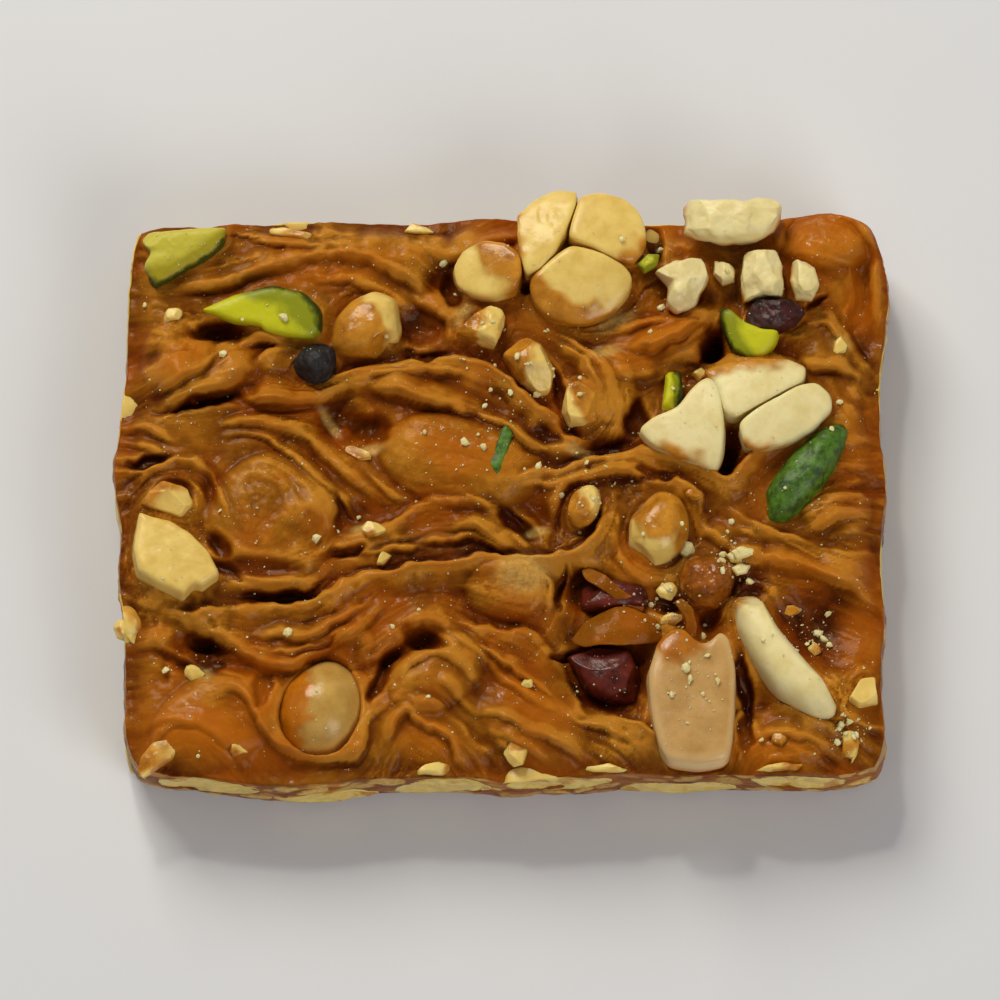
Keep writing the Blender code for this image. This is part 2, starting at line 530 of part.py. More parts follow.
def make_materials():
    """One Principled material for each kind of thing in the sweet."""
    made = {}
    for name, (colour, roughness) in MATERIALS.items():
        material = bpy.data.materials.new(name)
        material.use_nodes = True
        shader = material.node_tree.nodes["Principled BSDF"]
        shader.inputs["Base Color"].default_value = (*colour, 1)
        shader.inputs["Roughness"].default_value = roughness
        shader.inputs["Metallic"].default_value = 0.0
        made[name] = material
    return made


def make_nuts(materials):
    """Every nut on top and every nut cut through at a side."""
    nuts = []
    for name, (outline, low, high, round_top, tilt, material) in TOP_NUTS.items():
        points, faces = nut_mesh(outline, low, high, round_top, tilt)
        nuts.append(new_object(name, points, faces, materials[material]))
    for side, rows in SIDE_NUTS.items():
        for index, row in enumerate(rows):
            points, faces = side_nut_mesh(side, *row)
            nuts.append(new_object(f"{side}_nut_{index + 1}", points, faces, materials["peanut"]))
    return nuts


def make_fragments():
    """Five-sided broken bits, half sunk in the top of the slab."""
    bits = []
    for centre, length, width, degrees in FRAGMENTS:
        outline = oval(centre, length, width, degrees, count=5)
        level = float(top_level(np.array([centre[0]]), np.array([centre[1]]))[0])
        points, faces = nut_mesh(outline, level - FRAGMENT_SUNK, level + FRAGMENT_PROUD, 0.4, (0, 0))
        bits.append(new_object("fragment", points, faces))
    return bits


def make_slab(materials, nuts):
    """The sugar slab, with fragments joined on and a pocket round every nut."""
    slab = new_object("caramel_slab", *slab_mesh(), materials["caramel"])
    apply_boolean(slab, make_fragments(), "UNION")
    apply_boolean(slab, [grown_copy(nut, GAP * MM) for nut in nuts], "DIFFERENCE")
    drop_scraps(slab)
    return slab


def main():
    for thing in list(bpy.data.objects):
        bpy.data.objects.remove(thing)
    materials = make_materials()
    nuts = make_nuts(materials)
    slab = make_slab(materials, nuts)
    shade(slab, 50)
    for nut in nuts:
        shade(nut, 60)


main()
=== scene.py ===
"""Peanut gajak: the looks of one cut piece of pulled-sugar nut brittle.

Lengths are millimetres in the piece's own frame (X along it, Y to its back edge,
Z up) until a mesh is filled, where MM turns them into metres.
"""

import json
import math

import bmesh
import bpy
import numpy as np
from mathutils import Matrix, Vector
from mathutils.bvhtree import BVHTree


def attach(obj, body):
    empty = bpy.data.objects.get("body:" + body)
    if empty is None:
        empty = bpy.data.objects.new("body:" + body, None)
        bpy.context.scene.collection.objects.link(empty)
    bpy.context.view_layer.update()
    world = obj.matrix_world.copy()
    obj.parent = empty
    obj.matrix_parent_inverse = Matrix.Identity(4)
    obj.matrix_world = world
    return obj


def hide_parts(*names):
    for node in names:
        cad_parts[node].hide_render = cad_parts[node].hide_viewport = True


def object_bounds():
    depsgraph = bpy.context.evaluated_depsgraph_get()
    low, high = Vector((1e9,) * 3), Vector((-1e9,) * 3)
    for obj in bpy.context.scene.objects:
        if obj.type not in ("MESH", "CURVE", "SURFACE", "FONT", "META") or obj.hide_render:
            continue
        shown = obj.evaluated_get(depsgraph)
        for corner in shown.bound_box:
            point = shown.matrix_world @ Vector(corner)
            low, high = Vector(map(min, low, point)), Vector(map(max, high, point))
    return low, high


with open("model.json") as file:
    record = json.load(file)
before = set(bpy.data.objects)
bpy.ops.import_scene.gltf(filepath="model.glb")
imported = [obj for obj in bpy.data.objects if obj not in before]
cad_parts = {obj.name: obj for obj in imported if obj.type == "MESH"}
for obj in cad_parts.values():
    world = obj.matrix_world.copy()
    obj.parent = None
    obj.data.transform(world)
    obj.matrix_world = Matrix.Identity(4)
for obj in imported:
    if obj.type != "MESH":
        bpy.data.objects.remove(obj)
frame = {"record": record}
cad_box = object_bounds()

MM = 0.001
TAU = 2 * math.pi

# The slab: the same driving sizes as its solid
SLAB_LENGTH = 62.0
SLAB_WIDTH = 46.6
SLAB_TOP = 8.7
PLAN_SHIFT = (0.32, -0.36)
CORNER_CUT = 0.8
RIM_DROP = 0.9
RIM_REACH = 1.5
TOP_COLUMNS = 400
TOP_ROWS = 300
SIDE_ROWS = 38
UNDER_RINGS = 26
BOTTOM_INSET = 0.6
HOLLOW_SHARE = 0.55
FOLD_RISE = 0.84
CLEAR_DEPTH = 0.9
FOLD_TAIL = 1.7

# Where the cut edge bulges: side, place along it, outward reach and half width
EDGE_BULGES = [
    ("left", 2.0, 1.2, 5.0), ("left", -6.5, 0.6, 2.6), ("left", -21.0, 0.3, 3.0),
    ("right", 18.0, 0.7, 5.0), ("right", 1.5, 0.4, 3.0), ("right", -11.0, 0.2, 2.5),
    ("right", -21.0, 0.5, 3.0), ("front", -18.0, 0.8, 9.0), ("front", 2.0, 0.5, 6.0),
    ("back", 26.5, 1.0, 5.0), ("back", -2.0, 0.5, 5.0),
]

# Nuts wholly under the sugar, seen as domes: centre, length, width, turn, rise
COVERED_NUTS = [
    ((-3.4, 3.0), 14.0, 8.4, -10, 1.9), ((-19.2, -2.2), 12.5, 11.0, 60, 1.7),
    ((0.4, -8.1), 7.4, 4.8, 0, 1.3), ((-23.5, -18.8), 12.0, 8.0, 30, 1.1),
    ((-5.4, -15.0), 9.0, 6.0, 35, 1.1), ((26.8, 22.2), 9.0, 5.6, 0, 1.6),
    ((12.6, 12.4), 9.6, 5.4, 15, 1.0), ((-27.0, 12.0), 7.0, 6.0, 60, 0.8),
    ((2.5, -19.5), 10.0, 6.5, -35, 0.7), ((27.5, -1.2), 6.0, 5.0, 0, 0.7),
    ((-12.4, -12.6), 3.8, 2.8, 20, 0.9), ((-12.4, 6.4), 4.6, 3.4, 70, 1.2),
    ((20.6, 11.2), 8.0, 2.4, 0, 0.9), ((8.6, 9.4), 4.8, 7.0, 15, 1.0),
]

# Deep places between the folds: centre, length, width, turn, depth
HOLLOWS = [
    ((-12.4, 6.2), 6.4, 5.8, 0, 3.0), ((-22.6, 13.9), 8.0, 2.2, -8, 1.9), ((-4.8, 18.6), 4.0, 3.4, 0, 2.0),
    ((9.0, 4.4), 7.0, 2.2, 12, 2.6), ((3.2, -1.6), 5.4, 2.6, -30, 2.2), ((-11.8, -1.4), 5.4, 2.8, 10, 1.9),
    ((-19.0, -8.5), 9.0, 1.5, 0, 1.6), ((-24.4, -12.6), 4.0, 2.2, -10, 1.9), ((-8.6, -13.2), 6.0, 2.6, 25, 2.4),
    ((-15.0, -18.0), 11.0, 9.6, 70, 2.4), ((7.2, -7.2), 5.4, 3.4, 0, 1.7), ((8.6, -14.8), 8.0, 6.6, 0, 2.3),
    ((12.0, -8.4), 6.4, 3.2, 0, 2.2), ((25.8, -10.8), 8.4, 6.6, -30, 1.9), ((20.8, -17.2), 4.0, 5.4, 30, 2.4),
    ((17.4, 12.8), 2.6, 5.0, 10, 2.0), ((18.7, 3.6), 2.4, 4.4, 0, 2.2), ((-24.2, 0.8), 1.8, 3.0, 20, 1.6),
    ((17.0, -11.4), 3.0, 2.4, 0, 2.0), ((-21.4, -14.6), 6.0, 2.0, -8, 1.2), ((-20.0, 7.2), 6.0, 1.2, 5, 1.0),
    ((16.0, 17.0), 10.0, 2.2, 0, 0.9), ((23.6, 12.6), 4.0, 1.6, -20, 1.0),
]

# Folds of pulled sugar, roughly in the order they were laid. Each is the route of its
# crest, with the steep nose on the right hand of its way, then the reach of the nose,
# the length of the slope behind it, and the rise
FOLDS = [
    ([(-17, 22.9), (-13, 22.2), (-9, 21.5), (-5.5, 20.7), (-3.4, 20.9), (-1, 22.2), (2.4, 23.3)], 0.7, 3.4, 1.2),
    ([(-27.8, 17.7), (-24, 18.3), (-20.7, 19.0), (-17, 20.0), (-14, 20.4), (-10.5, 20.0), (-8, 19.0),
      (-5.4, 17.3)], 0.6, 2.6, 1.4),
    ([(-22.0, 22.2), (-18.5, 21.6), (-15.5, 21.4), (-11.5, 21.0), (-8.4, 20.2), (-6.4, 19.0)], 0.3, 1.0, 0.9),
    ([(-25.5, 19.4), (-22, 20.1), (-18.6, 20.9)], 0.3, 0.8, 0.6),
    ([(-16.3, 18.5), (-13, 18.6), (-10.4, 18.1), (-8.2, 16.9), (-7.0, 15.6)], 0.5, 1.4, 0.8),
    ([(-7.6, 17.8), (-5.4, 16.2), (-4.2, 14.4), (-4.6, 12.6)], 0.5, 1.2, 0.7),
    ([(-24.9, 10.9), (-24.4, 12.3), (-25.8, 13.9), (-28.4, 15.0)], 0.5, 3.4, 1.0),
    ([(-30.2, 16.0), (-28.4, 16.1), (-26.6, 15.6)], 0.3, 0.9, 0.5),
    ([(-29.8, 7.2), (-27.5, 8.0), (-25.5, 8.9), (-23.4, 9.9), (-21.8, 10.5), (-19.6, 10.3)], 0.7, 2.6, 1.5),
    ([(-29.6, 8.6), (-27, 9.9), (-24.6, 11.2), (-22, 12.5), (-19.6, 13.1), (-17.2, 12.7)], 0.35, 1.6, 1.7),
    ([(-16.6, 12.6), (-18.4, 12.0), (-20.4, 11.3), (-21.4, 10.2)], 0.4, 1.2, 1.0),
    ([(7.4, 4.2), (5.8, 4.7), (4.2, 5.8), (2.1, 7.8), (0.6, 9.2), (-1, 10.3), (-3, 11.1), (-5, 11.4), (-7.2, 11.4),
      (-9, 11.2), (-11.3, 10.7), (-13.4, 9.9), (-15.2, 9.3)], 0.45, 1.7, 1.9),
    ([(-12.6, 9.7), (-9.6, 10.4), (-6, 10.6), (-3, 10.1), (-0.4, 8.7), (1.6, 6.8), (3.6, 5.2)], 0.25, 0.7, 1.6),
    ([(-22.4, 9.8), (-21, 8.4), (-18.6, 8.0), (-15.5, 8.2), (-13.2, 8.8), (-10.3, 9.0), (-7.2, 8.7), (-4, 7.8),
      (-1.6, 6.9), (0.4, 5.9), (2.4, 4.6), (4.4, 3.9)], 0.4, 1.5, 1.5),
    ([(-15.2, 7.2), (-16.6, 6.9), (-19.7, 7.1), (-22.8, 7.5), (-26, 6.9), (-29, 6.4), (-31.2, 6.2)], 0.45, 3.0, 0.9),
    ([(-24, 5.6), (-21, 6.0), (-18, 5.7), (-15.8, 4.8), (-14.2, 3.4), (-12.4, 1.6), (-10.6, 0.2)], 0.5, 1.4, 1.1),
    ([(-12.6, 4.0), (-11.2, 2.4), (-9.4, 0.9), (-7.6, -0.4)], 0.35, 1.0, 0.9),
    ([(-22.6, 4.6), (-19.6, 4.6), (-17.2, 3.6), (-15.2, 1.8), (-13.2, -0.2), (-11.8, -1.6)], 0.3, 0.9, 0.9),
    ([(-32.4, 5.2), (-29.8, 5.4), (-27.2, 4.9), (-25.4, 5.2)], 0.3, 0.7, 0.7),
    ([(-32.4, 4.0), (-29.8, 4.1), (-27.6, 3.8)], 0.3, 0.6, 0.6),
    ([(-32.6, 2.7), (-30.6, 2.8), (-29.0, 2.2)], 0.3, 0.6, 0.5),
    ([(-22.6, -0.8), (-23.0, 0.9), (-24.4, 2.6), (-26.4, 3.2), (-28.6, 2.4), (-30.2, 0.9)], 0.35, 0.6, 1.0),
    ([(-14.4, -4.4), (-14.1, -2.6), (-14.3, -0.6), (-15.6, 1.4), (-17.8, 3.0), (-20.4, 3.9), (-22.6, 3.2)],
     0.45, 4.5, 0.7),
    ([(-21.6, 1.6), (-19.6, 1.9), (-18.0, 0.9), (-17.6, -0.9), (-18.6, -2.4)], 0.5, 0.9, 0.3),
    ([(-24.0, -5.2), (-21.5, -6.9), (-18.6, -7.5), (-15.6, -7.0), (-13.2, -6.0), (-10.3, -5.4)], 0.7, 2.2, 0.7),
    ([(-16.4, -5.7), (-14, -5.1), (-11.4, -4.7), (-9.0, -4.4), (-6.4, -4.0)], 0.35, 0.9, 0.9),
    ([(2.8, -4.6), (1.6, -3.1), (0.0, -2.1), (-2, -1.1), (-4, -0.5), (-6, -0.5), (-8.0, -1.0), (-9.6, -2.2),
      (-11.2, -3.2), (-13.6, -3.8)], 0.45, 1.9, 1.5),
    ([(-13.2, -4.8), (-10.2, -3.8), (-7.6, -2.9), (-5, -2.4), (-2.4, -2.9), (0.2, -4.0), (2.6, -4.8)],
     0.35, 1.2, 1.3),
    ([(-8.2, -4.0), (-5.6, -3.3), (-3, -3.5), (-0.4, -4.3), (2, -4.9)], 0.25, 0.7, 1.1),
    ([(9.2, -1.0), (8.6, -2.4), (7.2, -3.8), (5.2, -4.7), (2.6, -5.2), (-0.6, -5.3), (-4, -5.6), (-7, -6.0),
      (-9.3, -6.5), (-11.4, -7.0), (-13, -7.9), (-14.6, -8.7), (-16.6, -9.2), (-19.7, -9.7), (-23.6, -10.1),
      (-26.8, -9.8)], 0.4, 1.6, 1.3),
    ([(-26.6, -10.0), (-24.9, -11.4), (-22.6, -12.9), (-19.7, -14.0), (-17, -13.9), (-14.5, -12.8), (-12.4, -11.4),
      (-10.2, -9.8), (-8.4, -8.9)], 0.5, 1.6, 1.4),
    ([(-25.0, -10.9), (-21, -11.7), (-17, -11.9), (-13.6, -10.9), (-10.8, -9.0)], 0.25, 0.8, 0.9),
    ([(-23.6, -11.8), (-20, -12.8), (-16.4, -12.9), (-13.2, -11.7)], 0.2, 0.6, 0.9),
    ([(-18.6, -8.2), (-21.6, -8.0), (-24.4, -8.7)], 0.3, 0.8, 0.5),
    ([(-15.6, -12.6), (-13.6, -13.9), (-12.4, -14.3), (-10.6, -13.6), (-8.4, -12.2), (-7.2, -11.4), (-5.6, -11.0),
      (-4.4, -12.0)], 0.35, 1.9, 1.2),
    ([(-30.8, -12.4), (-28.6, -12.2), (-26.4, -13.0), (-24.2, -14.6)], 0.5, 1.4, 0.8),
    ([(-24.2, -16.9), (-22.6, -16.2), (-21.1, -17.4), (-19.9, -19.3), (-18.0, -21.2), (-15.8, -22.3),
      (-13.2, -22.2), (-11.9, -21.0), (-11.4, -19.4), (-10.2, -18.0), (-8.0, -16.8)], 0.35, 2.2, 1.2),
    ([(-1.0, -21.6), (-3, -19.9), (-4.6, -18.8), (-6.2, -17.7), (-8.0, -16.8)], 0.4, 1.6, 1.1),
    ([(-10.6, -21.4), (-9.4, -19.4), (-8.0, -18.2), (-6.4, -19.2), (-4.4, -20.8), (-3.0, -22.4)], 0.3, 0.9, 1.0),
    ([(-30.4, -19.4), (-28, -18.6), (-25.4, -19.2), (-22.8, -20.8), (-20.6, -22.8)], 0.6, 2.2, 0.6),
    ([(-29.8, -21.0), (-28.4, -19.8), (-27.0, -18.8)], 0.3, 0.6, 0.6),
    ([(-9.6, -15.0), (-7.6, -13.8), (-5.6, -13.6), (-3.6, -14.8), (-1.4, -16.2)], 0.5, 1.6, 0.8),
    ([(13.6, -22.6), (12.5, -20.9), (10.4, -19.1), (7.4, -17.8), (5.6, -15.6), (4.0, -13.5), (2.0, -12.2)],
     0.4, 2.2, 1.3),
    ([(-4.6, -11.6), (-2.6, -13.4), (0.0, -15.2), (3.0, -16.8), (6.4, -18.6), (9.6, -20.4), (11.8, -22.4)],
     0.35, 1.5, 1.0),
    ([(-3.0, -12.0), (-0.6, -13.8), (2.2, -15.2), (5.2, -17.2)], 0.2, 0.7, 0.9),
    ([(-5.8, -16.2), (-3, -17.6), (0.6, -18.8), (4.2, -20.6), (6.6, -22.6)], 0.3, 1.2, 0.8),
    ([(-1.8, -19.4), (1.2, -20.6), (3.4, -22.4)], 0.25, 0.9, 0.6),
    ([(3.8, -13.4), (2.4, -12.0), (0.6, -11.4), (-1.4, -11.2), (-3.4, -10.6)], 0.3, 1.4, 0.8),
    ([(3.8, -6.3), (4.4, -7.8), (4.2, -9.4), (3.4, -10.8)], 0.25, 0.5, 1.4),
    ([(5.2, -5.6), (5.8, -7.2), (5.6, -8.8), (5.0, -10.4)], 0.25, 0.5, 1.2),
    ([(22.4, 4.4), (21.2, 3.6), (19.8, 2.9), (17.7, 1.8), (14.6, 2.7), (12.4, 3.3), (10.4, 3.6), (7.3, 3.3),
      (4.2, 1.9), (1.6, 0.8)], 0.4, 1.3, 1.5),
    ([(1.4, -0.2), (4.2, 0.6), (7.6, 1.5), (11, 1.7), (14.4, 1.1), (16.6, 0.2)], 0.3, 1.2, 1.2),
    ([(4.0, -3.4), (4.3, -1.2), (5.0, 0.6), (6.8, 1.4), (8.6, 0.8)], 0.3, 0.6, 1.1),
    ([(9.8, -0.6), (9.3, -3.2), (10.0, -5.4), (11.8, -6.7), (13.6, -6.7)], 0.3, 0.8, 0.9),
    ([(16.0, -2.0), (15.6, 0.2), (14.0, 1.2), (11.8, 1.0)], 0.3, 0.8, 0.9),
    ([(15.4, -1.0), (17.4, -3.2), (20.2, -5.2), (23.4, -6.0), (26.6, -6.6), (29.8, -8.2)], 0.7, 2.8, 1.6),
    ([(30.6, -5.2), (27, -4.2), (23.4, -3.4), (20.4, -2.2), (17.8, -0.6)], 0.35, 2.0, 1.1),
    ([(18.4, -2.4), (21.6, -4.0), (25.2, -4.8), (29, -6.2)], 0.2, 0.7, 1.3),
    ([(24.4, -2.9), (27, -2.2), (30.4, -1.9)], 0.25, 0.6, 1.0),
    ([(26, -1.0), (28.6, -0.7), (31, -0.4)], 0.25, 0.6, 0.9),
    ([(27.2, 0.6), (28.8, 0.8), (31, 1.4)], 0.25, 0.6, 0.8),
    ([(27.6, 2.8), (29.2, 2.6), (31.0, 3.2)], 0.25, 0.8, 0.7),
    ([(27.8, 5.6), (29.2, 5.0), (30.8, 5.0)], 0.3, 1.2, 0.6),
    ([(28.4, -20.6), (27.1, -19.3), (24.2, -18.3), (21.4, -18.2), (19.6, -19.0), (19.2, -21.2)], 0.5, 3.0, 1.2),
    ([(19.8, -21.0), (22.4, -20.4), (25.4, -20.8), (28.0, -22.0)], 0.3, 1.0, 0.7),
    ([(22.4, 20.6), (23.6, 23.4), (26.4, 24.6), (29.4, 23.8), (30.8, 21.4), (30.0, 19.2)], 0.5, 2.6, 0.9),
    ([(24.8, 19.8), (27.4, 19.2), (29.8, 19.6)], 0.5, 1.2, 0.5),
    ([(31.2, 21.6), (31.0, 18), (30.4, 14.8), (30.2, 12.6)], 0.6, 1.0, 0.8),
    ([(28.4, 19.2), (28.9, 16.6), (28.6, 14.6)], 0.4, 0.8, 0.5),
    ([(30.4, 10.6), (29.2, 13.4), (27.2, 15.6), (25.4, 16.2)], 0.35, 1.4, 1.0),
    ([(24.2, 12.4), (25.6, 11.6), (27.6, 11.2), (30.0, 10.4)], 0.35, 1.2, 1.1),
    ([(25.2, 14.4), (26.8, 14.8), (28.2, 13.6), (28.8, 11.8)], 0.3, 0.8, 0.9),
    ([(29.6, 4.6), (28.9, 7.2), (27.6, 9.6)], 0.4, 1.0, 0.6),
    ([(9.2, 9.9), (12.5, 10.5), (15.2, 11.9), (17.4, 14.6), (18.0, 16.6)], 0.5, 3.6, 1.6),
    ([(9.8, 12.4), (12.4, 12.6), (15.0, 13.6), (17.2, 15.6)], 0.25, 0.9, 1.9),
    ([(8.6, 13.8), (11.6, 14.4), (14.4, 15.0)], 0.25, 0.9, 1.4),
    ([(7.6, 4.6), (9.2, 6.6), (9.0, 9.4), (7.2, 11.6), (5.0, 13.0), (3.2, 13.6)], 0.5, 1.9, 1.4),
    ([(8.2, 7.4), (7.8, 9.6), (6.2, 11.4), (4.2, 12.6)], 0.25, 0.7, 1.5),
    ([(16.2, 10.4), (18.6, 10.9), (21.4, 10.8), (24.4, 10.4)], 0.5, 1.2, 1.3),
]
# Strength of the fine wrinkles and strands over plan, smooth places: centre, size, turn
SMOOTH_PLACES = [
    ((-19.0, -1.5), 10.0, 9.0, 60), ((-3.6, 3.0), 12.0, 7.0, -12), ((-26.8, 12.0), 5.0, 6.0, 50),
    ((26.6, 22.2), 7.0, 4.4, 0), ((-26.0, -19.5), 9.0, 6.0, -20), ((25.6, -11.6), 8.0, 6.6, -30),
    ((12.0, 13.0), 9.0, 3.6, 15), ((-19.4, 10.6), 5.0, 3.0, 10), ((23.4, -20.2), 7.0, 3.4, 0),
    ((13.0, 22.6), 4.0, 4.6, 0), ((-3.5, -16.0), 15.0, 9.0, -35), ((4.0, -18.0), 10.0, 6.0, -30),
    ((24.6, 8.0), 4.0, 4.0, 0), ((-9.0, -20.0), 5.0, 5.0, 0), ((-26.0, 9.0), 7.0, 2.4, 25),
]

# Where the sugar is thin, dark and clear, over hollows and red skins, and where the same darkening is painted shade in
# deep holes and on the shaded side of nuts
CLEAR_PLACES = [
    ((26.0, -11.2), 9.0, 7.0, -35), ((8.8, -11.2), 9.0, 7.0, -10), ((8.4, -15.2), 6.0, 5.6, 0), ((-13.2, 6.2), 5.0, 3.6, 0),
    ((-7.0, 14.6), 4.0, 3.4, 0), ((-25.5, -13.4), 5.4, 3.6, -20), ((15.6, -9.6), 5.0, 4.0, 0),
    ((-14.0, -13.4), 6.0, 2.6, 0), ((17.0, 12.8), 3.0, 2.6, 0), ((29.6, 15.6), 2.4, 8.0, 0),
    ((-24.0, 14.4), 5.0, 1.6, 20), ((-23.4, -4.4), 3.4, 1.6, -50), ((-27.2, 0.4), 3.4, 2.6, 0), ((-20.6, -6.2), 9.0, 1.8, -5),
    ((4.2, 5.4), 4.0, 2.4, 0), ((20.0, -7.6), 4.0, 2.6, 0), ((18.4, 3.4), 2.4, 2.0, 0),
]

# Deep narrow pits between folds and beside nuts, sunk into the level and darkened with painted shade through the clear
# mark: centre, length, width, turn, depth
PITS = [
    ((-24.7, -12.5), 2.4, 1.2, -20, 1.8), ((-6.6, -12.2), 3.6, 1.5, -25, 2.0), ((-9.5, -13.3), 1.8, 1.0, 35, 1.6),
    ((-20.0, -16.4), 3.2, 1.5, 75, 1.4), ((-10.3, -15.6), 3.6, 1.4, 65, 1.6), ((-23.8, 14.0), 4.0, 1.4, 5, 1.4),
    ((-4.3, 17.4), 2.4, 1.2, 100, 1.6), ((-24.0, 8.2), 4.4, 0.9, 12, 1.3), ((-10.9, 5.8), 2.8, 2.0, 20, 1.4),
    ((-29.4, 3.0), 2.8, 1.0, 10, 1.3), ((-6.3, 11.9), 3.4, 0.8, -5, 1.2), ((12.4, 21.9), 2.6, 1.3, 90, 1.5),
    ((2.0, 17.8), 1.4, 0.9, 0, 1.2), ((4.4, 9.0), 3.4, 0.9, 100, 1.5), ((18.7, 3.8), 3.2, 1.5, 80, 1.8),
    ((10.8, 6.7), 2.8, 1.6, 80, 1.5), ((17.3, 13.0), 2.6, 1.7, 80, 1.5), ((25.9, 16.8), 1.8, 0.8, 20, 1.2),
    ((1.2, -2.5), 4.0, 1.4, -35, 1.6), ((13.4, -9.0), 2.4, 1.6, -20, 1.4), ((17.2, -10.3), 2.0, 1.6, 0, 1.4),
    ((7.4, -8.2), 5.6, 3.2, -10, 2.0), ((4.9, -13.3), 2.2, 0.9, 10, 1.6), ((19.9, -15.6), 5.4, 1.3, 105, 1.5),
    ((4.8, -7.8), 3.2, 0.6, 82, 1.2), ((20.0, -19.6), 3.4, 0.9, 80, 1.2), ((-13.0, -4.6), 3.0, 0.8, 12, 1.0),
    ((-18.4, -8.6), 5.0, 0.8, 0, 1.0), ((8.6, -14.9), 8.6, 6.2, -10, 1.5), ((10.6, -10.6), 4.0, 1.8, -20, 1.4), ((13.2, 1.6), 3.4, 0.9, -10, 1.2),
]
# Nuts that shine through a thin place in the sugar: centre, length, width, turn
THIN_PLACES = [
    ((1.6, -6.8), 4.6, 3.4, 10), ((9.2, 14.8), 3.4, 1.3, 25), ((8.4, 12.2), 2.6, 1.2, 10), ((27.9, 13.0), 1.8, 1.5, 0),
    ((-11.6, -2.9), 2.2, 1.2, 10), ((-14.4, 6.6), 3.0, 0.8, -55), ((2.8, -2.9), 2.0, 0.9, 10),
    ((-24.9, -14.9), 2.2, 1.2, -20), ((-11.0, 4.0), 2.4, 1.0, 10), ((14.2, -3.4), 2.6, 1.6, 60),
    ((6.2, 3.8), 2.4, 1.0, -20), ((-3.4, 15.4), 2.4, 1.4, 60),
]

# Thin glowing orange places over pale nuts: centre, length, width, turn
AMBER_PLACES = [
    ((-24.5, -20.2), 10.0, 5.0, -12), ((21.6, -21.6), 8.0, 3.6, 0), ((29.4, -12.6), 3.4, 7.0, 0),
    ((26.6, 22.0), 9.0, 6.0, 0), ((29.4, 16.6), 3.0, 6.0, 0), ((-6.4, -20.6), 7.0, 3.6, -20),
    ((-20.4, -17.0), 3.0, 5.0, 0), ((13.4, 23.6), 3.0, 3.0, 0), ((-14.0, 19.4), 12.0, 3.0, 10),
    ((11.8, 12.6), 9.0, 4.0, 25), ((-26.6, 11.6), 6.0, 3.0, 40), ((-3.0, 3.4), 9.0, 4.0, -10),
    ((24.0, -6.0), 7.0, 2.4, -15), ((2.6, -17.6), 7.0, 3.0, -35),
]


def noise(x, y, z, size, seed):
    """Value noise of that grain size, about -1 to 1: random values on a cubic
    lattice, blended with smoothstep weights between the eight nearest."""
    table = np.random.default_rng(seed).uniform(-1, 1, 8192)
    cells, blends = [], []
    for axis in (x, y, z):
        scaled = np.asarray(axis, dtype=float) / size
        cell = np.floor(scaled)
        part = scaled - cell
        cells.append(cell.astype(np.int64))
        blends.append(part * part * (3 - 2 * part))
    total = 0.0
    for dx in (0, 1):
        weight_x = blends[0] if dx else 1 - blends[0]
        for dy in (0, 1):
            weight_y = blends[1] if dy else 1 - blends[1]
            for dz in (0, 1):
                weight_z = blends[2] if dz else 1 - blends[2]
                key = (cells[0] + dx) * 73856093 ^ (cells[1] + dy) * 19349663 ^ (cells[2] + dz) * 83492791
                total = total + table[key & 8191] * weight_x * weight_y * weight_z
    return total


def fractal(x, y, z, size, octaves, seed):
    """Octaves of noise, each half the grain and a little over half the height."""
    total, height = 0.0, 1.0
    for octave in range(octaves):
        total = total + height * noise(x, y, z, size / 2 ** octave, seed + octave)
        height *= 0.55
    return total


def smooth_step(low, high, value):
    """0 below low, 1 above high and a smooth rise between."""
    part = np.clip((value - low) / (high - low), 0, 1)
    return part * part * (3 - 2 * part)


def smooth_route(points, spacing):
    """A Catmull-Rom curve through the points, read at about that spacing."""
    knots = np.array(points, dtype=float)
    ends = np.vstack([2 * knots[0] - knots[1], knots, 2 * knots[-1] - knots[-2]])
    pieces = []
    for index in range(1, len(ends) - 2):
        before, start, stop, after = ends[index - 1:index + 3]
        count = max(2, int(np.hypot(*(stop - start)) / spacing))
        t = (np.arange(count) / count)[:, None]
        pieces.append(0.5 * (2 * start + (stop - before) * t + (2 * before - 5 * start + 4 * stop - after) * t ** 2
                             + (3 * start - before - 3 * stop + after) * t ** 3))
    pieces.append(knots[-1:])
    return np.vstack(pieces)


def route_ways(route):
    """Unit way along a route at each of its points."""
    step = np.gradient(route, axis=0)
    return step / np.hypot(step[:, 0], step[:, 1])[:, None]


def beside_route(x, y, route):
    """For each point its distance to the left of the route, the length of route
    behind it, how far it lies past either end, and the whole length."""
    step = route_ways(route)
    travelled = np.concatenate([[0], np.cumsum(np.hypot(*np.diff(route, axis=0).T))])
    nearest = ((x[:, None] - route[:, 0]) ** 2 + (y[:, None] - route[:, 1]) ** 2).argmin(axis=1)
    dx, dy = x - route[nearest, 0], y - route[nearest, 1]
    ahead = dx * step[nearest, 0] + dy * step[nearest, 1]
    left = step[nearest, 0] * dy - step[nearest, 1] * dx
    behind = travelled[nearest] + ahead
    past = np.clip(-behind, 0, None) + np.clip(behind - travelled[-1], 0, None)
    return left, behind, past, travelled[-1]


def oval_reach(x, y, centre, length, width, degrees):
    """Squared distance from an oval's centre, 1 on its outline."""
    angle = math.radians(degrees)
    dx, dy = x - centre[0], y - centre[1]
    along = (dx * math.cos(angle) + dy * math.sin(angle)) / (length / 2)
    across = (dy * math.cos(angle) - dx * math.sin(angle)) / (width / 2)
    return along ** 2 + across ** 2


def blurred(field, reach):
    """Three passes of a box average over a grid, in cells each way."""
    wide = 2 * reach + 1
    for _ in range(3):
        for axis in (0, 1):
            pad = [(reach + 1, reach) if axis == side else (0, 0) for side in (0, 1)]
            sums = np.cumsum(np.pad(field, pad, mode="edge"), axis=axis)
            upper = sums[wide:] if axis == 0 else sums[:, wide:]
            lower = sums[:-wide] if axis == 0 else sums[:, :-wide]
            field = (upper - lower) / wide
    return field


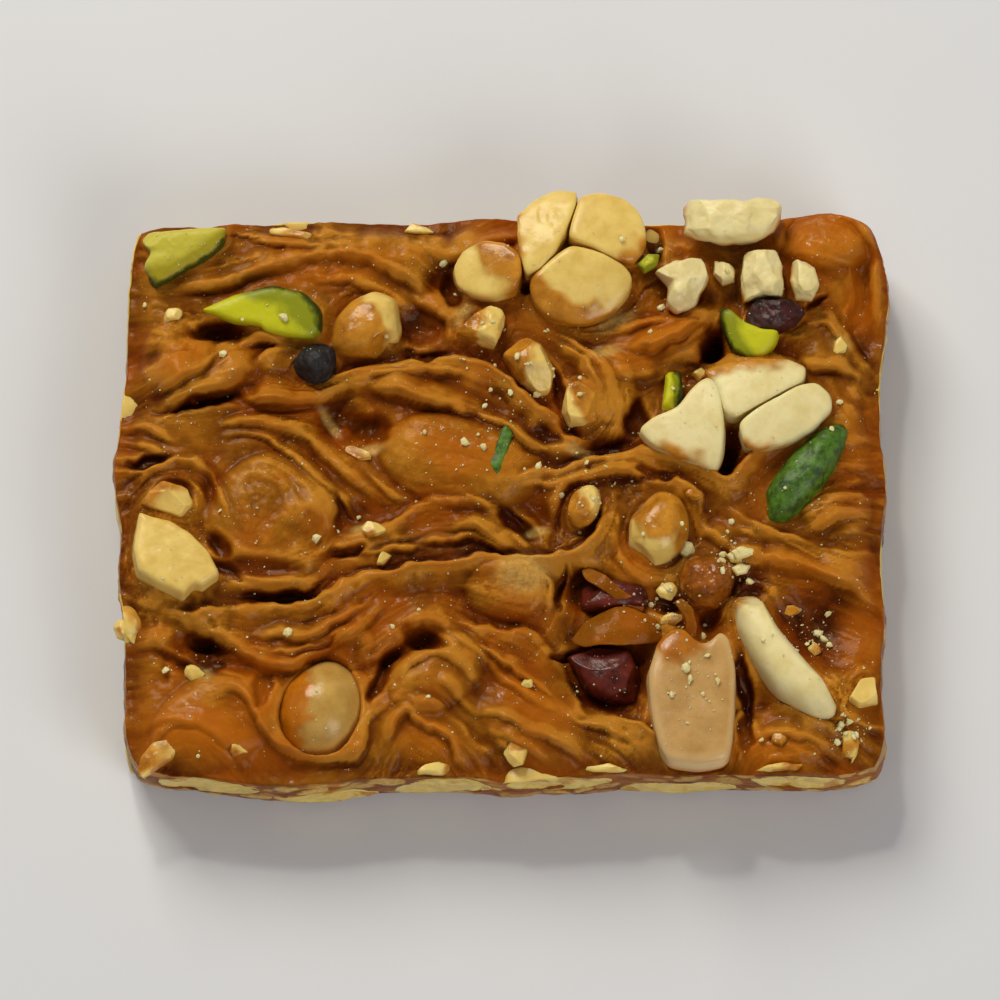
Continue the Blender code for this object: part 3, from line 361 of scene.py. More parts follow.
def drawn_out(field, way_x, way_y, steps):
    """The field averaged along the flow: each cell walks that many cells both ways
    along the nearest cell's way, never turning back, and averages what it meets."""
    rows, columns = field.shape
    row, column = np.mgrid[0:rows, 0:columns].astype(float)
    total = field.copy()
    for sense in (1, -1):
        along_x, along_y = sense * way_x, sense * way_y
        at_row, at_column = row.copy(), column.copy()
        for _ in range(steps):
            at_column = np.clip(at_column + along_x, 0, columns - 1)
            at_row = np.clip(at_row + along_y, 0, rows - 1)
            j, i = np.rint(at_row).astype(int), np.rint(at_column).astype(int)
            total += field[j, i]
            turn = np.where(along_x * way_x[j, i] + along_y * way_y[j, i] < 0, -1, 1)
            along_x, along_y = turn * way_x[j, i], turn * way_y[j, i]
    total -= total.mean()
    return total / total.std()


# Making meshes

def fill_mesh(name, points, face_sets, marks):
    """A mesh in metres from points in millimetres and arrays of three- or
    four-cornered faces, with a number or a vector for every point by name."""
    mesh = bpy.data.meshes.new(name)
    shift = np.array([PLAN_SHIFT[0], PLAN_SHIFT[1], 0.0])
    mesh.vertices.add(len(points))
    mesh.vertices.foreach_set("co", ((points + shift) * MM).astype(np.float32).ravel())
    sizes = np.concatenate([np.full(len(faces), faces.shape[1]) for faces in face_sets])
    corners = np.concatenate([faces.ravel() for faces in face_sets])
    starts = np.concatenate([[0], np.cumsum(sizes)[:-1]])
    mesh.loops.add(len(corners))
    mesh.loops.foreach_set("vertex_index", corners.astype(np.int32))
    mesh.polygons.add(len(sizes))
    mesh.polygons.foreach_set("loop_start", starts.astype(np.int32))
    mesh.polygons.foreach_set("use_smooth", np.ones(len(sizes), dtype=bool))
    for mark, values in marks.items():
        values = np.asarray(values, dtype=np.float32)
        if values.ndim == 2:
            mesh.attributes.new(mark, "FLOAT_VECTOR", "POINT").data.foreach_set("vector", values.ravel())
        else:
            mesh.attributes.new(mark, "FLOAT", "POINT").data.foreach_set("value", values)
    mesh.update(calc_edges=True)
    mesh.validate()
    return mesh


def add_piece(name, mesh, material, nodes):
    """The finished piece: it rides on the one body and stands for its CAD nodes."""
    mesh.materials.append(material)
    piece = bpy.data.objects.new(name, mesh)
    bpy.context.scene.collection.objects.link(piece)
    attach(piece, "root")
    if nodes:
        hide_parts(*nodes)
    return piece


def ring_faces(rings, count, start=0):
    """Quads between rings of points that each go anticlockwise, lowest first."""
    k = np.arange(count)
    after = (k + 1) % count
    faces = []
    for ring in range(rings - 1):
        low, high = start + ring * count, start + (ring + 1) * count
        faces.append(np.stack([low + k, low + after, high + after, high + k], axis=1))
    return np.concatenate(faces)


def cap_faces(count, ring_start, pole, upper):
    """Triangles from a ring to its pole."""
    k = np.arange(count)
    after = (k + 1) % count
    tip = np.full(count, pole)
    if upper:
        return np.stack([ring_start + k, ring_start + after, tip], axis=1)
    return np.stack([ring_start + after, ring_start + k, tip], axis=1)


# The sugar slab

def edge_offset(side, along):
    """How far the cut edge stands out from the plain rectangle: the listed
    bulges and a little unevenness."""
    seed = {"left": 3, "right": 4, "front": 5, "back": 6}[side]
    offset = 0.18 * fractal(along, 0 * along, 0 * along, 5.0, 4, seed)
    for bulge_side, place, outward, reach in EDGE_BULGES:
        if bulge_side == side:
            offset = offset + outward * np.exp(-((along - place) / reach) ** 2)
    return offset


def slab_plan():
    """Plan points of the top: a grid stretched to the uneven outline."""
    u, v = np.meshgrid(np.linspace(0, 1, TOP_COLUMNS + 1), np.linspace(0, 1, TOP_ROWS + 1))
    plain_x = (u - 0.5) * SLAB_LENGTH
    plain_y = (v - 0.5) * SLAB_WIDTH
    x = plain_x + u * edge_offset("right", plain_y) - (1 - u) * edge_offset("left", plain_y)
    y = plain_y + v * edge_offset("back", plain_x) - (1 - v) * edge_offset("front", plain_x)
    corner = np.abs(2 * u - 1) ** 12 * np.abs(2 * v - 1) ** 10
    x -= np.sign(plain_x) * CORNER_CUT * corner
    y -= np.sign(plain_y) * CORNER_CUT * corner
    return x, y


def fold_section(left, nose, tail):
    """Height over a fold's width: a quarter circle up the nose to the crest, a thin
    bead along the crest, and a slope that eases down behind it."""
    front = np.sqrt(np.clip(1 - (np.clip(-left, 0, nose) / nose) ** 2, 0, 1))
    slope = 1 - smooth_step(-0.1 * tail, tail, left)
    bead = 0.2 * np.exp(-((left - 0.08) / 0.22) ** 2)
    return np.where(left < 0, front, slope) + bead * (left > -nose)


def lay_folds(x, y, under):
    """Lays every fold on the level under it; each shows where it is the highest, and
    a groove runs before its nose. Along its way a fold swells, thins and frays.
    Returns the level, and the place across and along the nearest fold."""
    warp_x = x + 0.6 * fractal(x, y, 0 * x, 4.6, 4, 21)
    warp_y = y + 0.6 * fractal(x, y, 0 * x, 4.6, 4, 25)
    level = under.copy()
    closest = np.full(x.shape, 1e3)
    flow = np.zeros(x.shape + (3,))
    for number, (points, nose, tail, rise) in enumerate(FOLDS):
        route = smooth_route(points, 0.2)
        reach = FOLD_TAIL * tail + 2.5
        near = ((warp_x > route[:, 0].min() - reach) & (warp_x < route[:, 0].max() + reach)
                & (warp_y > route[:, 1].min() - reach) & (warp_y < route[:, 1].max() + reach))
        left, behind, past, total = beside_route(warp_x[near], warp_y[near], route)
        from_end = np.clip(np.minimum(behind, total - behind) / 3.0, 0, 1)
        taper = smooth_step(-0.25, 1, from_end) * smooth_step(0.9, 0.0, past)
        swell = 0.85 + 0.75 * noise(behind, 0 * behind + 5.0 * number, 0 * behind, 3.8, 31)
        fray = 0.14 * noise(behind, 0.7 * left + 9.0 * number, 0 * behind, 1.1, 33)
        sway = np.clip(swell + fray, 0.15, 1.5)
        long_tail = FOLD_TAIL * tail * (0.5 + 0.5 * taper) * (0.75 + 0.3 * sway)
        height = under[near] + FOLD_RISE * rise * sway * taper * fold_section(left, nose, long_tail) - 0.03
        inside = (left > -nose) & (left < long_tail) & (past < 0.9)
        height = np.where(inside, height, -1e3)
        part = level[near]
        higher = height > part
        groove = np.exp(-((left + nose + 0.14) / 0.2) ** 2) * taper * (past < 0.5) * np.clip(sway, 0, 1)
        part = np.where(higher, height, part - 0.3 * min(1.0, rise) * groove)
        level[near] = part
        distance = np.where(higher, 0, np.abs(left) + past)
        takes = higher | (distance < closest[near])
        flow[near] = np.where(takes[:, None], np.stack([left, behind, 0 * left + 7.3 * number], axis=1), flow[near])
        closest[near] = np.where(takes, distance, closest[near])
    return level, flow


def flow_ways(x, y):
    """Unit way of the flow over plan: the folds' and the nut outlines' ways, added as
    doubled angles with weights that fall with distance."""
    double_x = np.full(x.shape, 0.01)
    double_y = np.zeros(x.shape)
    routes = [(smooth_route(points, 0.7), 1.0, 8.0) for points, *_ in FOLDS]
    for outline, *_ in TOP_NUTS.values():
        routes.append((smooth_route(list(outline) + [outline[0]], 0.7), 0.5, 2.0))
    for route, strength, reach in routes:
        ways = route_ways(route)
        near = ((x > route[:, 0].min() - reach) & (x < route[:, 0].max() + reach)
                & (y > route[:, 1].min() - reach) & (y < route[:, 1].max() + reach))
        gap = (x[near][:, None] - route[:, 0]) ** 2 + (y[near][:, None] - route[:, 1]) ** 2
        nearest = gap.argmin(axis=1)
        weight = strength / (gap.min(axis=1) + 0.4) ** 1.6
        cos_a, sin_a = ways[nearest, 0], ways[nearest, 1]
        double_x[near] += weight * (cos_a ** 2 - sin_a ** 2)
        double_y[near] += weight * 2 * cos_a * sin_a
    angle = 0.5 * np.arctan2(double_y, double_x)
    return np.cos(angle), np.sin(angle)


def slab_top(x, y):
    """Level of the sugar's top: broad domes and hollows, folds laid over them,
    wrinkles and strands drawn along the flow, and small lumps. Returns it with the
    flow places, the strands, the rough spots and the clear places for the shader; the
    clear places also carry the painted shade of the pits."""
    zero = 0 * x
    under = SLAB_TOP + 0.3 * fractal(x, y, zero, 8.0, 2, 41)
    for centre, length, width, degrees, rise in COVERED_NUTS:
        reach = oval_reach(x, y, centre, length, width, degrees)
        under = under + rise * np.sqrt(np.clip(1 - reach, 0, None) + 0.02) - rise * math.sqrt(0.02)
    for centre, length, width, degrees, depth in HOLLOWS:
        reach = oval_reach(x, y, centre, length, width, degrees)
        under = under - HOLLOW_SHARE * depth * np.exp(-1.7 * reach)
    clear = 0 * x
    for centre, length, width, degrees in CLEAR_PLACES:
        clear = np.maximum(clear, np.exp(-1.5 * oval_reach(x, y, centre, length, width, degrees) ** 2))
    level, flow = lay_folds(x, y, under - CLEAR_DEPTH * clear)
    level = 0.6 * level + 0.4 * blurred(level, 1)
    level = seat_nuts(x, y, level)
    way_x, way_y = flow_ways(x, y)
    draws = np.random.default_rng(47)
    broad = drawn_out(blurred(draws.normal(size=x.shape), 4), way_x, way_y, 42)
    pleats = drawn_out(blurred(draws.normal(size=x.shape), 1), way_x, way_y, 26)
    fine = drawn_out(draws.normal(size=x.shape), way_x, way_y, 14)
    busy = 0.35 + 0.65 * smooth_step(-0.35, 0.4, noise(x, y, zero, 4.5, 53))
    calm = 0 * x
    for centre, length, width, degrees in SMOOTH_PLACES:
        calm = np.maximum(calm, np.exp(-1.2 * oval_reach(x, y, centre, length, width, degrees) ** 2))
    busy = busy * (1 - 0.7 * calm)
    ridges = np.clip(1 - np.abs(pleats) / 0.5, 0, 1) ** 1.5
    level = level + 0.15 * np.clip(broad, -2, 2) * (0.4 + busy)
    level = level + busy * (0.14 * ridges + 0.05 * np.clip(pleats, -2, 2) + 0.025 * np.clip(fine, -2, 2))
    rough_spots = smooth_step(0.2, 0.8, fractal(x, y, zero, 5.0, 2, 57)) * (1 - 0.85 * calm)
    level = level + (0.05 + 0.14 * rough_spots) * fractal(x, y, zero, 0.9, 2, 55)
    clear = clear * smooth_step(1.3, 0.3, level - under)
    warp = 0.35 * fractal(x, y, zero, 1.6, 2, 59)
    for centre, length, width, degrees, depth in PITS:
        pit = np.exp(-0.8 * oval_reach(x + warp, y - warp, centre, length, width, degrees) ** 2)
        level = level - 0.75 * depth * pit
        # Painted shade: each pit darkens the sugar's colour through the clear mark
        clear = np.maximum(clear, 1.3 * pit)
    return level, flow, busy * (0.5 * fine + 0.8 * ridges), rough_spots, clear


def seat_nuts(x, y, level):
    """Sinks the sugar under each nut and draws it up in a small lip round it."""
    for name, (outline, low, high, _, _, lip) in TOP_NUTS.items():
        plan = np.array(outline)
        held = HELD_NUTS.get(name, 0.0)
        centre = plan.mean(axis=0)
        reach = np.hypot(*(plan - centre).T).max() + 2.5
        near = (np.abs(x - centre[0]) < reach) & (np.abs(y - centre[1]) < reach)
        gap = outline_gap(x[near], y[near], plan)
        part = level[near]
        waist = low + 0.5 * (high - low)
        uneven = 0.5 * held * noise(x[near], y[near], 0 * gap, 1.7, 43)
        part = part + lip * np.exp(-np.clip(gap + held, 0, None) / 0.7) * (gap > -0.6 - held)
        sunk = np.minimum(part, waist - 0.4)
        level[near] = part + (sunk - part) * smooth_step(-0.05, -0.6, gap + held + uneven)
    return level


def outline_gap(x, y, plan):
    """Distance outside a closed outline, negative inside it."""
    gap = np.full(x.shape, 1e3)
    turns = np.zeros(x.shape)
    for start, stop in zip(plan, np.roll(plan, -1, axis=0)):
        edge = stop - start
        share = np.clip(((x - start[0]) * edge[0] + (y - start[1]) * edge[1]) / (edge @ edge), 0, 1)
        gap = np.minimum(gap, np.hypot(x - start[0] - share * edge[0], y - start[1] - share * edge[1]))
        turns += np.arctan2((start[0] - x) * (stop[1] - y) - (start[1] - y) * (stop[0] - x),
                            (start[0] - x) * (stop[0] - x) + (start[1] - y) * (stop[1] - y))
    return np.where(np.abs(turns) > math.pi, -gap, gap)


def cut_bits(side):
    """Small nuts cut through in a side between the large ones, largest first and
    none over another: place, level, half length, half height, turn and paleness."""
    draws = np.random.default_rng({"left": 11, "right": 12, "front": 13, "back": 14}[side])
    half = (SLAB_WIDTH if side in ("left", "right") else SLAB_LENGTH) / 2 - 0.8
    placed = [row[:4] for row in SIDE_NUTS[side]]
    bits = []
    for attempt in range(900):
        long = draws.uniform(0.35, 0.5) + 2.2 * (1 - attempt / 900) * draws.uniform(0.3, 1)
        tall = long * draws.uniform(0.4, 0.8)
        along, level = draws.uniform(-half, half), draws.uniform(0.5 + tall, 7.9 - tall)
        apart = [((along - p) / (long + l)) ** 2 + ((level - q) / (tall + h)) ** 2 for p, q, l, h in placed]
        if min(apart) > 1.02:
            placed.append((along, level, long, tall))
            bits.append((along, level, long, tall, draws.uniform(-30, 30), draws.uniform(0.35, 1.0)))
    return bits


def side_marks(ring, level, bits):
    """For each point of a side how deep it lies inside a large cut nut, 1 well inside
    its outline, and how much of a small one shows there."""
    inside = np.zeros(len(ring))
    small = np.zeros(len(ring))
    half_length, half_width = SLAB_LENGTH / 2, SLAB_WIDTH / 2
    for side, rows in SIDE_NUTS.items():
        sideways = side in ("left", "right")
        outward = {"left": -ring[:, 0] - half_length, "right": ring[:, 0] - half_length,
                   "front": -ring[:, 1] - half_width, "back": ring[:, 1] - half_width}[side]
        near = outward > -1.2
        along = (ring[:, 1] if sideways else ring[:, 0])[near]
        height = level[near]
        for place, nut_level, half, half_height, _, degrees in rows:
            reach = oval_reach(along, height, (place, nut_level), 2 * half, 2 * half_height, degrees)
            inside[near] = np.maximum(inside[near], smooth_step(0.95, 0.7, reach))
        along = along + 0.25 * noise(along, height, 0 * along, 1.1, 87)
        height = height + 0.25 * noise(along, height, 0 * along, 1.1, 89)
        for place, bit_level, half, half_height, degrees, paleness in bits[side]:
            reach = oval_reach(along, height, (place, bit_level), 2 * half, 2 * half_height, degrees)
            small[near] = np.maximum(small[near], paleness * smooth_step(1.15, 0.8, reach))
    return inside, small


def make_slab(material):
    """The sugar: a fine top, rough cut sides and a flat underside in one skin."""
    x, y = slab_plan()
    rows, columns = x.shape
    z, flow, strands, glitter, clear = slab_top(x, y)
    to_edge = np.minimum(SLAB_LENGTH / 2 - np.abs(x), SLAB_WIDTH / 2 - np.abs(y))
    z = z - RIM_DROP * np.exp(-(np.clip(to_edge, 0, None) / RIM_REACH) ** 2)
    # hollow: how far the top lies below its blurred level; the shader darkens the sugar there, partly thicker sugar and
    # partly painted shade in pits and crevices
    hollow = np.clip(blurred(z, 8) - z, -1.2, 1.6) + 0.5 * np.clip(blurred(z, 25) - z, -1.5, 2.5)
    # crest: how far the top stands above its nearby average; the shader lightens the sugar there, partly thinner sugar
    # and partly a painted highlight on the ridges
    crest = np.clip(z - blurred(z, 3), -0.3, 0.3) / 0.15
    thin = 0 * x
    for centre, length, width, degrees in THIN_PLACES:
        thin = np.maximum(thin, 0.55 * np.exp(-oval_reach(x, y, centre, length, width, degrees) ** 2))
    amber = 0 * x
    for centre, length, width, degrees in AMBER_PLACES:
        amber = np.maximum(amber, np.exp(-0.9 * oval_reach(x, y, centre, length, width, degrees) ** 2))
    index = np.arange(rows * columns).reshape(rows, columns)
    rim = np.concatenate([index[0, :-1], index[:-1, -1], index[-1, :0:-1], index[:0:-1, 0]])
    points = np.stack([x, y, z], axis=-1).reshape(-1, 3)
    ring = points[rim]
    count = len(rim)
    ahead = np.roll(ring, -2, axis=0) - np.roll(ring, 2, axis=0)
    outward = np.stack([ahead[:, 1], -ahead[:, 0]], axis=1)
    outward /= np.linalg.norm(outward, axis=1)[:, None]
    faces = [np.stack([index[:-1, :-1], index[:-1, 1:], index[1:, 1:], index[1:, :-1]], axis=-1).reshape(-1, 4)]
    blocks = [points]
    marks = {"hollow": [hollow.ravel()], "crest": [crest.ravel()], "strands": [strands.ravel()],
             "clear": [clear.ravel()], "glitter": [glitter.ravel()], "bit": [thin.ravel()],
             "amber": [amber.ravel()], "side": [np.zeros(len(points))], "flow": [flow.reshape(-1, 3)]}
    bits = {side: cut_bits(side) for side in SIDE_NUTS}
    upper, total = rim, len(points)
    for row in range(1, SIDE_ROWS + UNDER_RINGS + 1):
        down = min(1.0, row / SIDE_ROWS)
        level = ring[:, 2] * (1 - down)
        share = 1 - max(0, row - SIDE_ROWS) / (UNDER_RINGS + 0.1)
        swell = math.sin(math.pi * down) ** 0.6
        rough = fractal(ring[:, 0], ring[:, 1], level * 1.6, 3.0, 4, 61)
        layers = fractal(ring[:, 0] / 6, ring[:, 1] / 6, level + 0.15 * ring[:, 0], 0.8, 2, 63)
        cut, bit = side_marks(ring, level, bits)
        push = (0.14 + 0.2 * rough + 0.12 * layers + 0.1 * bit) * swell - BOTTOM_INSET * down ** 4
        push = push + (-0.3 - push) * cut * (down < 1)
        block = np.column_stack([(ring[:, 0] + outward[:, 0] * push) * share,
                                 (ring[:, 1] + outward[:, 1] * push) * share, level])
        flow = np.column_stack([level, ring[:, 0] + ring[:, 1], 0 * level])
        side = min(1.0, down * 6)
        if row > SIDE_ROWS:
            pits = fractal(block[:, 0], block[:, 1], 0 * level, 4.0, 3, 67)
            block[:, 2] = 0.14 * np.clip(pits, 0, None) * min(1.0, (row - SIDE_ROWS) / 2)
            rough = layers = 0.6 * pits
            flow = np.column_stack([0.4 * block[:, :2], 0 * level])
        lower = total + np.arange(count)
        total += count
        faces.append(np.stack([upper, lower, np.roll(lower, -1), np.roll(upper, -1)], axis=1))
        blocks.append(block)
        # On the sides the hollow mark follows the rough layers and rises towards the bottom, so the shader makes the
        # sides darker towards the bottom
        marks["hollow"].append(-0.6 * rough - 0.5 * layers + 0.5 * down ** 3)
        marks["crest"].append(layers)
        marks["strands"].append(layers)
        marks["clear"].append(smooth_step(0.1, 0.6, rough))
        marks["glitter"].append(0 * layers)
        marks["bit"].append(bit * (down < 1))
        marks["side"].append(np.full(count, side))
        marks["amber"].append(0 * level)
        marks["flow"].append(flow)
        upper = lower
    blocks.append(np.zeros((1, 3)))
    for mark, values in marks.items():
        values.append(values[-1][:1])
    faces.append(np.stack([upper, np.full(count, total), np.roll(upper, -1)], axis=1))
    joined = {mark: np.concatenate(values) for mark, values in marks.items()}
    mesh = fill_mesh("pulled_sugar", np.concatenate(blocks), faces, joined)
    return add_piece("pulled_sugar", mesh, material, ["caramel_slab"])


# Nuts

def turned(points, centre, degrees):
    """Plan points turned about the origin and moved to the centre."""
    angle = math.radians(degrees)
    cos_a, sin_a = math.cos(angle), math.sin(angle)
    return [(centre[0] + x * cos_a - y * sin_a, centre[1] + x * sin_a + y * cos_a) for x, y in points]


def oval(centre, length, width, degrees, blunt=2.0, egg=0.0, count=24):
    """A superellipse in plan; egg narrows its far end and blunt squares it."""
    points = []
    for index in range(count):
        angle = TAU * index / count
        along = math.copysign(abs(math.cos(angle)) ** (2 / blunt), math.cos(angle))
        across = math.copysign(abs(math.sin(angle)) ** (2 / blunt), math.sin(angle))
        points.append((length / 2 * along, width / 2 * across * (1 - egg * along)))
    return turned(points, centre, degrees)


# Outline in plan, lowest and highest level, roundness of the top, tilt about X and
# Y in degrees, and how high the sugar's lip stands round the nut
TOP_NUTS = {
    "pistachio_wedge": ([(-29.8, 19.6), (-28.9, 17.7), (-25.0, 19.8), (-23.2, 21.2), (-22.9, 22.8),
                         (-26.5, 22.6), (-29.6, 22.3), (-29.9, 21.5), (-29.1, 20.8)], 7.2, 10.7, 0.35, (8, 0), 0.2),
    "pistachio_half": ([(-25.1, 15.8), (-22.0, 17.1), (-19.0, 17.8), (-16.6, 17.3), (-15.1, 15.9),
                        (-15.0, 14.0), (-15.6, 13.3), (-17.6, 13.5), (-19.7, 13.9), (-20.0, 14.4), (-22.5, 14.8)],
                       7.0, 10.7, 0.35, (8, -3), 0.2),
    "black_seed": (oval((-15.4, 11.2), 3.5, 3.2, 20), 7.8, 11.0, 1.0, (0, 0), 0.3),
    "coated_half": ([(-14.2, 12.4), (-12.6, 11.9), (-9.0, 12.0), (-8.5, 14.0), (-8.8, 16.8),
                     (-10.6, 17.5), (-12.4, 16.6), (-13.9, 15.0)], 7.0, 11.0, 0.7, (0, -6), 0.6),
    "cracked_peanut_left": ([(-3.9, 19.2), (-3.6, 17.8), (-2.4, 17), (-0.6, 16.8), (0.8, 17.4),
                             (1.2, 18.6), (1, 19.9), (0, 20.8), (-1.6, 21.1), (-3.2, 20.5)],
                            7.4, 11.4, 0.6, (0, -5), 0.4),
    "cracked_peanut_top": ([(1.4, 23.4), (2.6, 24.6), (4.4, 25.4), (5.9, 25.2), (5.6, 23.6), (5, 21.9),
                            (4.2, 20.3), (3, 19), (2, 18.5), (1.6, 20), (1.4, 21.6)],
                           8.0, 12.1, 0.45, (6, 4), 0.2),
    "cracked_peanut_right": ([(6.5, 24.9), (8.2, 25.2), (9.9, 24.8), (11, 23.7), (11.5, 22.2),
                              (11.3, 20.7), (10.5, 19.6), (9.2, 19.9), (7.4, 20.8), (5.6, 21.4), (5.9, 23)],
                             7.4, 12.1, 0.8, (4, 4), 0.2),
    "cracked_peanut_front": ([(2.6, 17.9), (2.6, 16.5), (3.6, 15.3), (5.2, 14.7), (7, 14.7), (8.7, 15.5),
                              (9.9, 16.8), (10.4, 18.2), (9.6, 19.1), (7.6, 20.1), (5.6, 20.5),
                              (4.5, 19.7), (3.4, 18.8)],
                             7.0, 11.9, 0.8, (-6, 0), 0.2),
    "yellow_bit": ([(-4.0, 13.6), (-2.2, 15.5), (-0.7, 16.1), (0.1, 15.0), (-0.4, 13.3), (-0.7, 12.5),
                    (-2.2, 13.1)], 8.2, 11.4, 0.4, (0, 8), 0.1),
    "broken_film": ([(-0.1, 11.8), (1.6, 13.3), (3.4, 12.5), (4.2, 10.6), (3.8, 8.7), (2.7, 8.5),
                     (1.0, 10.1)], 7.8, 11.4, 0.6, (0, 6), 0.4),
    "broken_low": ([(4.8, 7.2), (5.4, 9.2), (6.4, 9.6), (7.9, 8.4), (8.1, 6.5), (6.6, 5.8), (5.3, 5.9)],
                   7.6, 11.0, 0.6, (0, -8), 0.5),
    "white_block": ([(15.0, 24.7), (14.9, 21.8), (17.6, 21.2), (20.8, 21.4), (22.6, 22.5), (23.1, 24.3),
                     (21.9, 25.2), (20.2, 24.6)], 8.5, 12.3, 0.35, (4, 3), 0.0),
    "white_fork": ([(12.6, 18.8), (14.8, 19.9), (16.2, 20.1), (16.8, 18.4), (15.9, 16.0), (14.4, 15.3),
                    (13.5, 16.0), (13.8, 17.7)], 8.2, 11.8, 0.4, (0, 5), 0.0),
    "white_flake": ([(17.5, 19.9), (19.1, 19.2), (19.0, 18.2), (18.1, 17.9), (17.4, 18.8)],
                    8.4, 10.8, 0.4, (0, 0), 0.0),
    "white_chunk": ([(19.9, 20.4), (22.5, 20.6), (23.2, 18.8), (23.0, 16.7), (21.4, 16.8), (19.8, 16.4),
                     (19.7, 18.4)], 8.0, 11.8, 0.4, (3, 0), 0.0),
    "white_strip": ([(24.0, 19.8), (25.6, 19.4), (26.0, 17.6), (25.4, 16.5), (24.2, 16.6), (23.9, 18.2)],
                    8.2, 11.3, 0.4, (0, 8), 0.1),
    "dark_bit": ([(20, 15), (20.6, 16.2), (22.2, 16.8), (23.8, 16.6), (24.8, 15.6), (24.2, 14.4),
                  (22.4, 13.8), (20.8, 14)],
                 8.3, 11.2, 0.8, (0, 0), 0.0),
    "pistachio_moon": ([(17.9, 15.6), (18.2, 13.8), (18.9, 12.2), (20.2, 11.4), (21.6, 11.6), (22.5, 12.8),
                        (22.8, 13.9), (21.4, 14), (19.9, 14.6), (18.6, 15.8)],
                       8.0, 10.8, 0.4, (6, 0), 0.1),
    "pistachio_sliver": ([(13.1, 7.2), (13.5, 10.1), (14.5, 10.3), (14.7, 8.6), (14.2, 7.1)],
                         8.7, 10.9, 0.5, (0, 0), 0.1),
    "white_peanut_left": ([(11.4, 5.2), (12.6, 6.2), (14.4, 6.8), (15.4, 8.2), (16.4, 9.2), (17.2, 9.3),
                           (17.7, 7.9), (18, 5.6), (17.9, 3.4), (17.4, 2), (16.2, 2.4), (14.4, 3.2),
                           (12.6, 3.9)],
                          7.0, 11.7, 0.7, (0, -5), 0.3),
    "white_peanut_middle": ([(16.9, 9.9), (18.4, 10.6), (20.8, 10.9), (23.2, 11), (24.6, 10.4),
                             (24.4, 9.3), (22.6, 8.3), (20.8, 7.2), (19.2, 6.3), (18.4, 6.6), (18.1, 8),
                             (17.6, 9.2)],
                            7.4, 11.9, 0.6, (5, 0), 0.2),
    "white_peanut_right": ([(19.7, 5.6), (20.8, 6.6), (22.4, 7.6), (24.2, 8.7), (25.6, 9), (26.6, 8.2),
                            (26.8, 7), (25.4, 5.4), (23.6, 4.3), (21.6, 3.8), (20.2, 3.9)],
                           7.0, 11.6, 0.6, (-4, 4), 0.3),
    "pistachio_whole": (oval((25.0, 2.0), 11.0, 3.9, 52, egg=0.15), 7.0, 11.2, 0.9, (0, 0), 0.2),
    "cream_shard": ([(-30.2, -1.9), (-30.6, -5.2), (-30.2, -7), (-28.4, -8.1), (-26.4, -9), (-25.6, -8),
                     (-24.9, -8.2), (-23.5, -7.1), (-24.4, -5.2), (-26, -3.7), (-27.6, -2.7), (-29.2, -2.3)],
                    7.0, 11.2, 0.2, (-4, 4), 0.1),
    "cream_shard_top": ([(-30.0, -0.6), (-28.2, 1.1), (-26.1, 0.4), (-25.6, -0.9), (-26.6, -2.0),
                         (-28.6, -1.3)], 7.4, 10.7, 0.5, (0, 0), 0.3),
    "whole_peanut": (oval((-15.0, -17.8), 9.2, 7.6, 70, egg=0.12), 4.2, 10.3, 1.0, (0, 0), 0.45),
    "oval_bit": (oval((6.7, -0.9), 3.6, 2.4, 65), 8.4, 10.9, 0.9, (0, 0), 0.3),
    "olive_nut": (oval((12.8, -2.8), 6.4, 4.8, 75), 7.0, 11.0, 0.9, (0, 0), 0.6),
    "red_nut_large": ([(5.2, -13.4), (7.4, -12.7), (10.4, -12.8), (11.2, -15.0), (11.1, -17.3),
                       (8.8, -17.2), (6.8, -16.2)], 5.6, 9.2, 0.7, (0, 0), 0.0),
    "red_nut_small": ([(6.4, -9.4), (6.6, -7.5), (9.0, -6.9), (11.8, -7.6), (12.2, -9.2), (9.6, -9.6)],
                      6.4, 9.2, 0.7, (0, 0), 0.0),
    "peanut_half_flat": ([(12.4, -13.4), (13.3, -12.0), (14.6, -11.4), (15.3, -12.1), (16.0, -12.9),
                          (17.0, -12.7), (17.8, -11.5), (18.6, -12.3), (19.1, -15.0), (19.0, -18.0),
                          (18.8, -21.0), (18.4, -22.9), (16.0, -23.3), (13.4, -23.0), (12.7, -21.5),
                          (12.0, -18.5), (11.8, -15.5)], 6.8, 10.6, 0.25, (-4, 2), 0.0),
    "peanut_half_curved": ([(18.9, -9.2), (19.8, -8.0), (20.9, -8.4), (22.6, -11.4), (25.4, -14.8),
                            (27.5, -17.0), (27.3, -18.8), (25.6, -19.0), (22.5, -17.1), (20.4, -14.0),
                            (19.2, -11.4)], 6.4, 11.8, 0.7, (0, 0), 0.0),
    "cream_edge_bit": ([(28.3, -17.3), (29.4, -15.6), (30.6, -15.4), (30.8, -17.5), (29.2, -18.0)],
                       6.8, 10.2, 0.5, (0, 0), 0.1),
    "coated_ball": (oval((16.7, -7.1), 4.4, 4.4, 0), 6.8, 11.0, 1.0, (0, 0), 0.3),
}

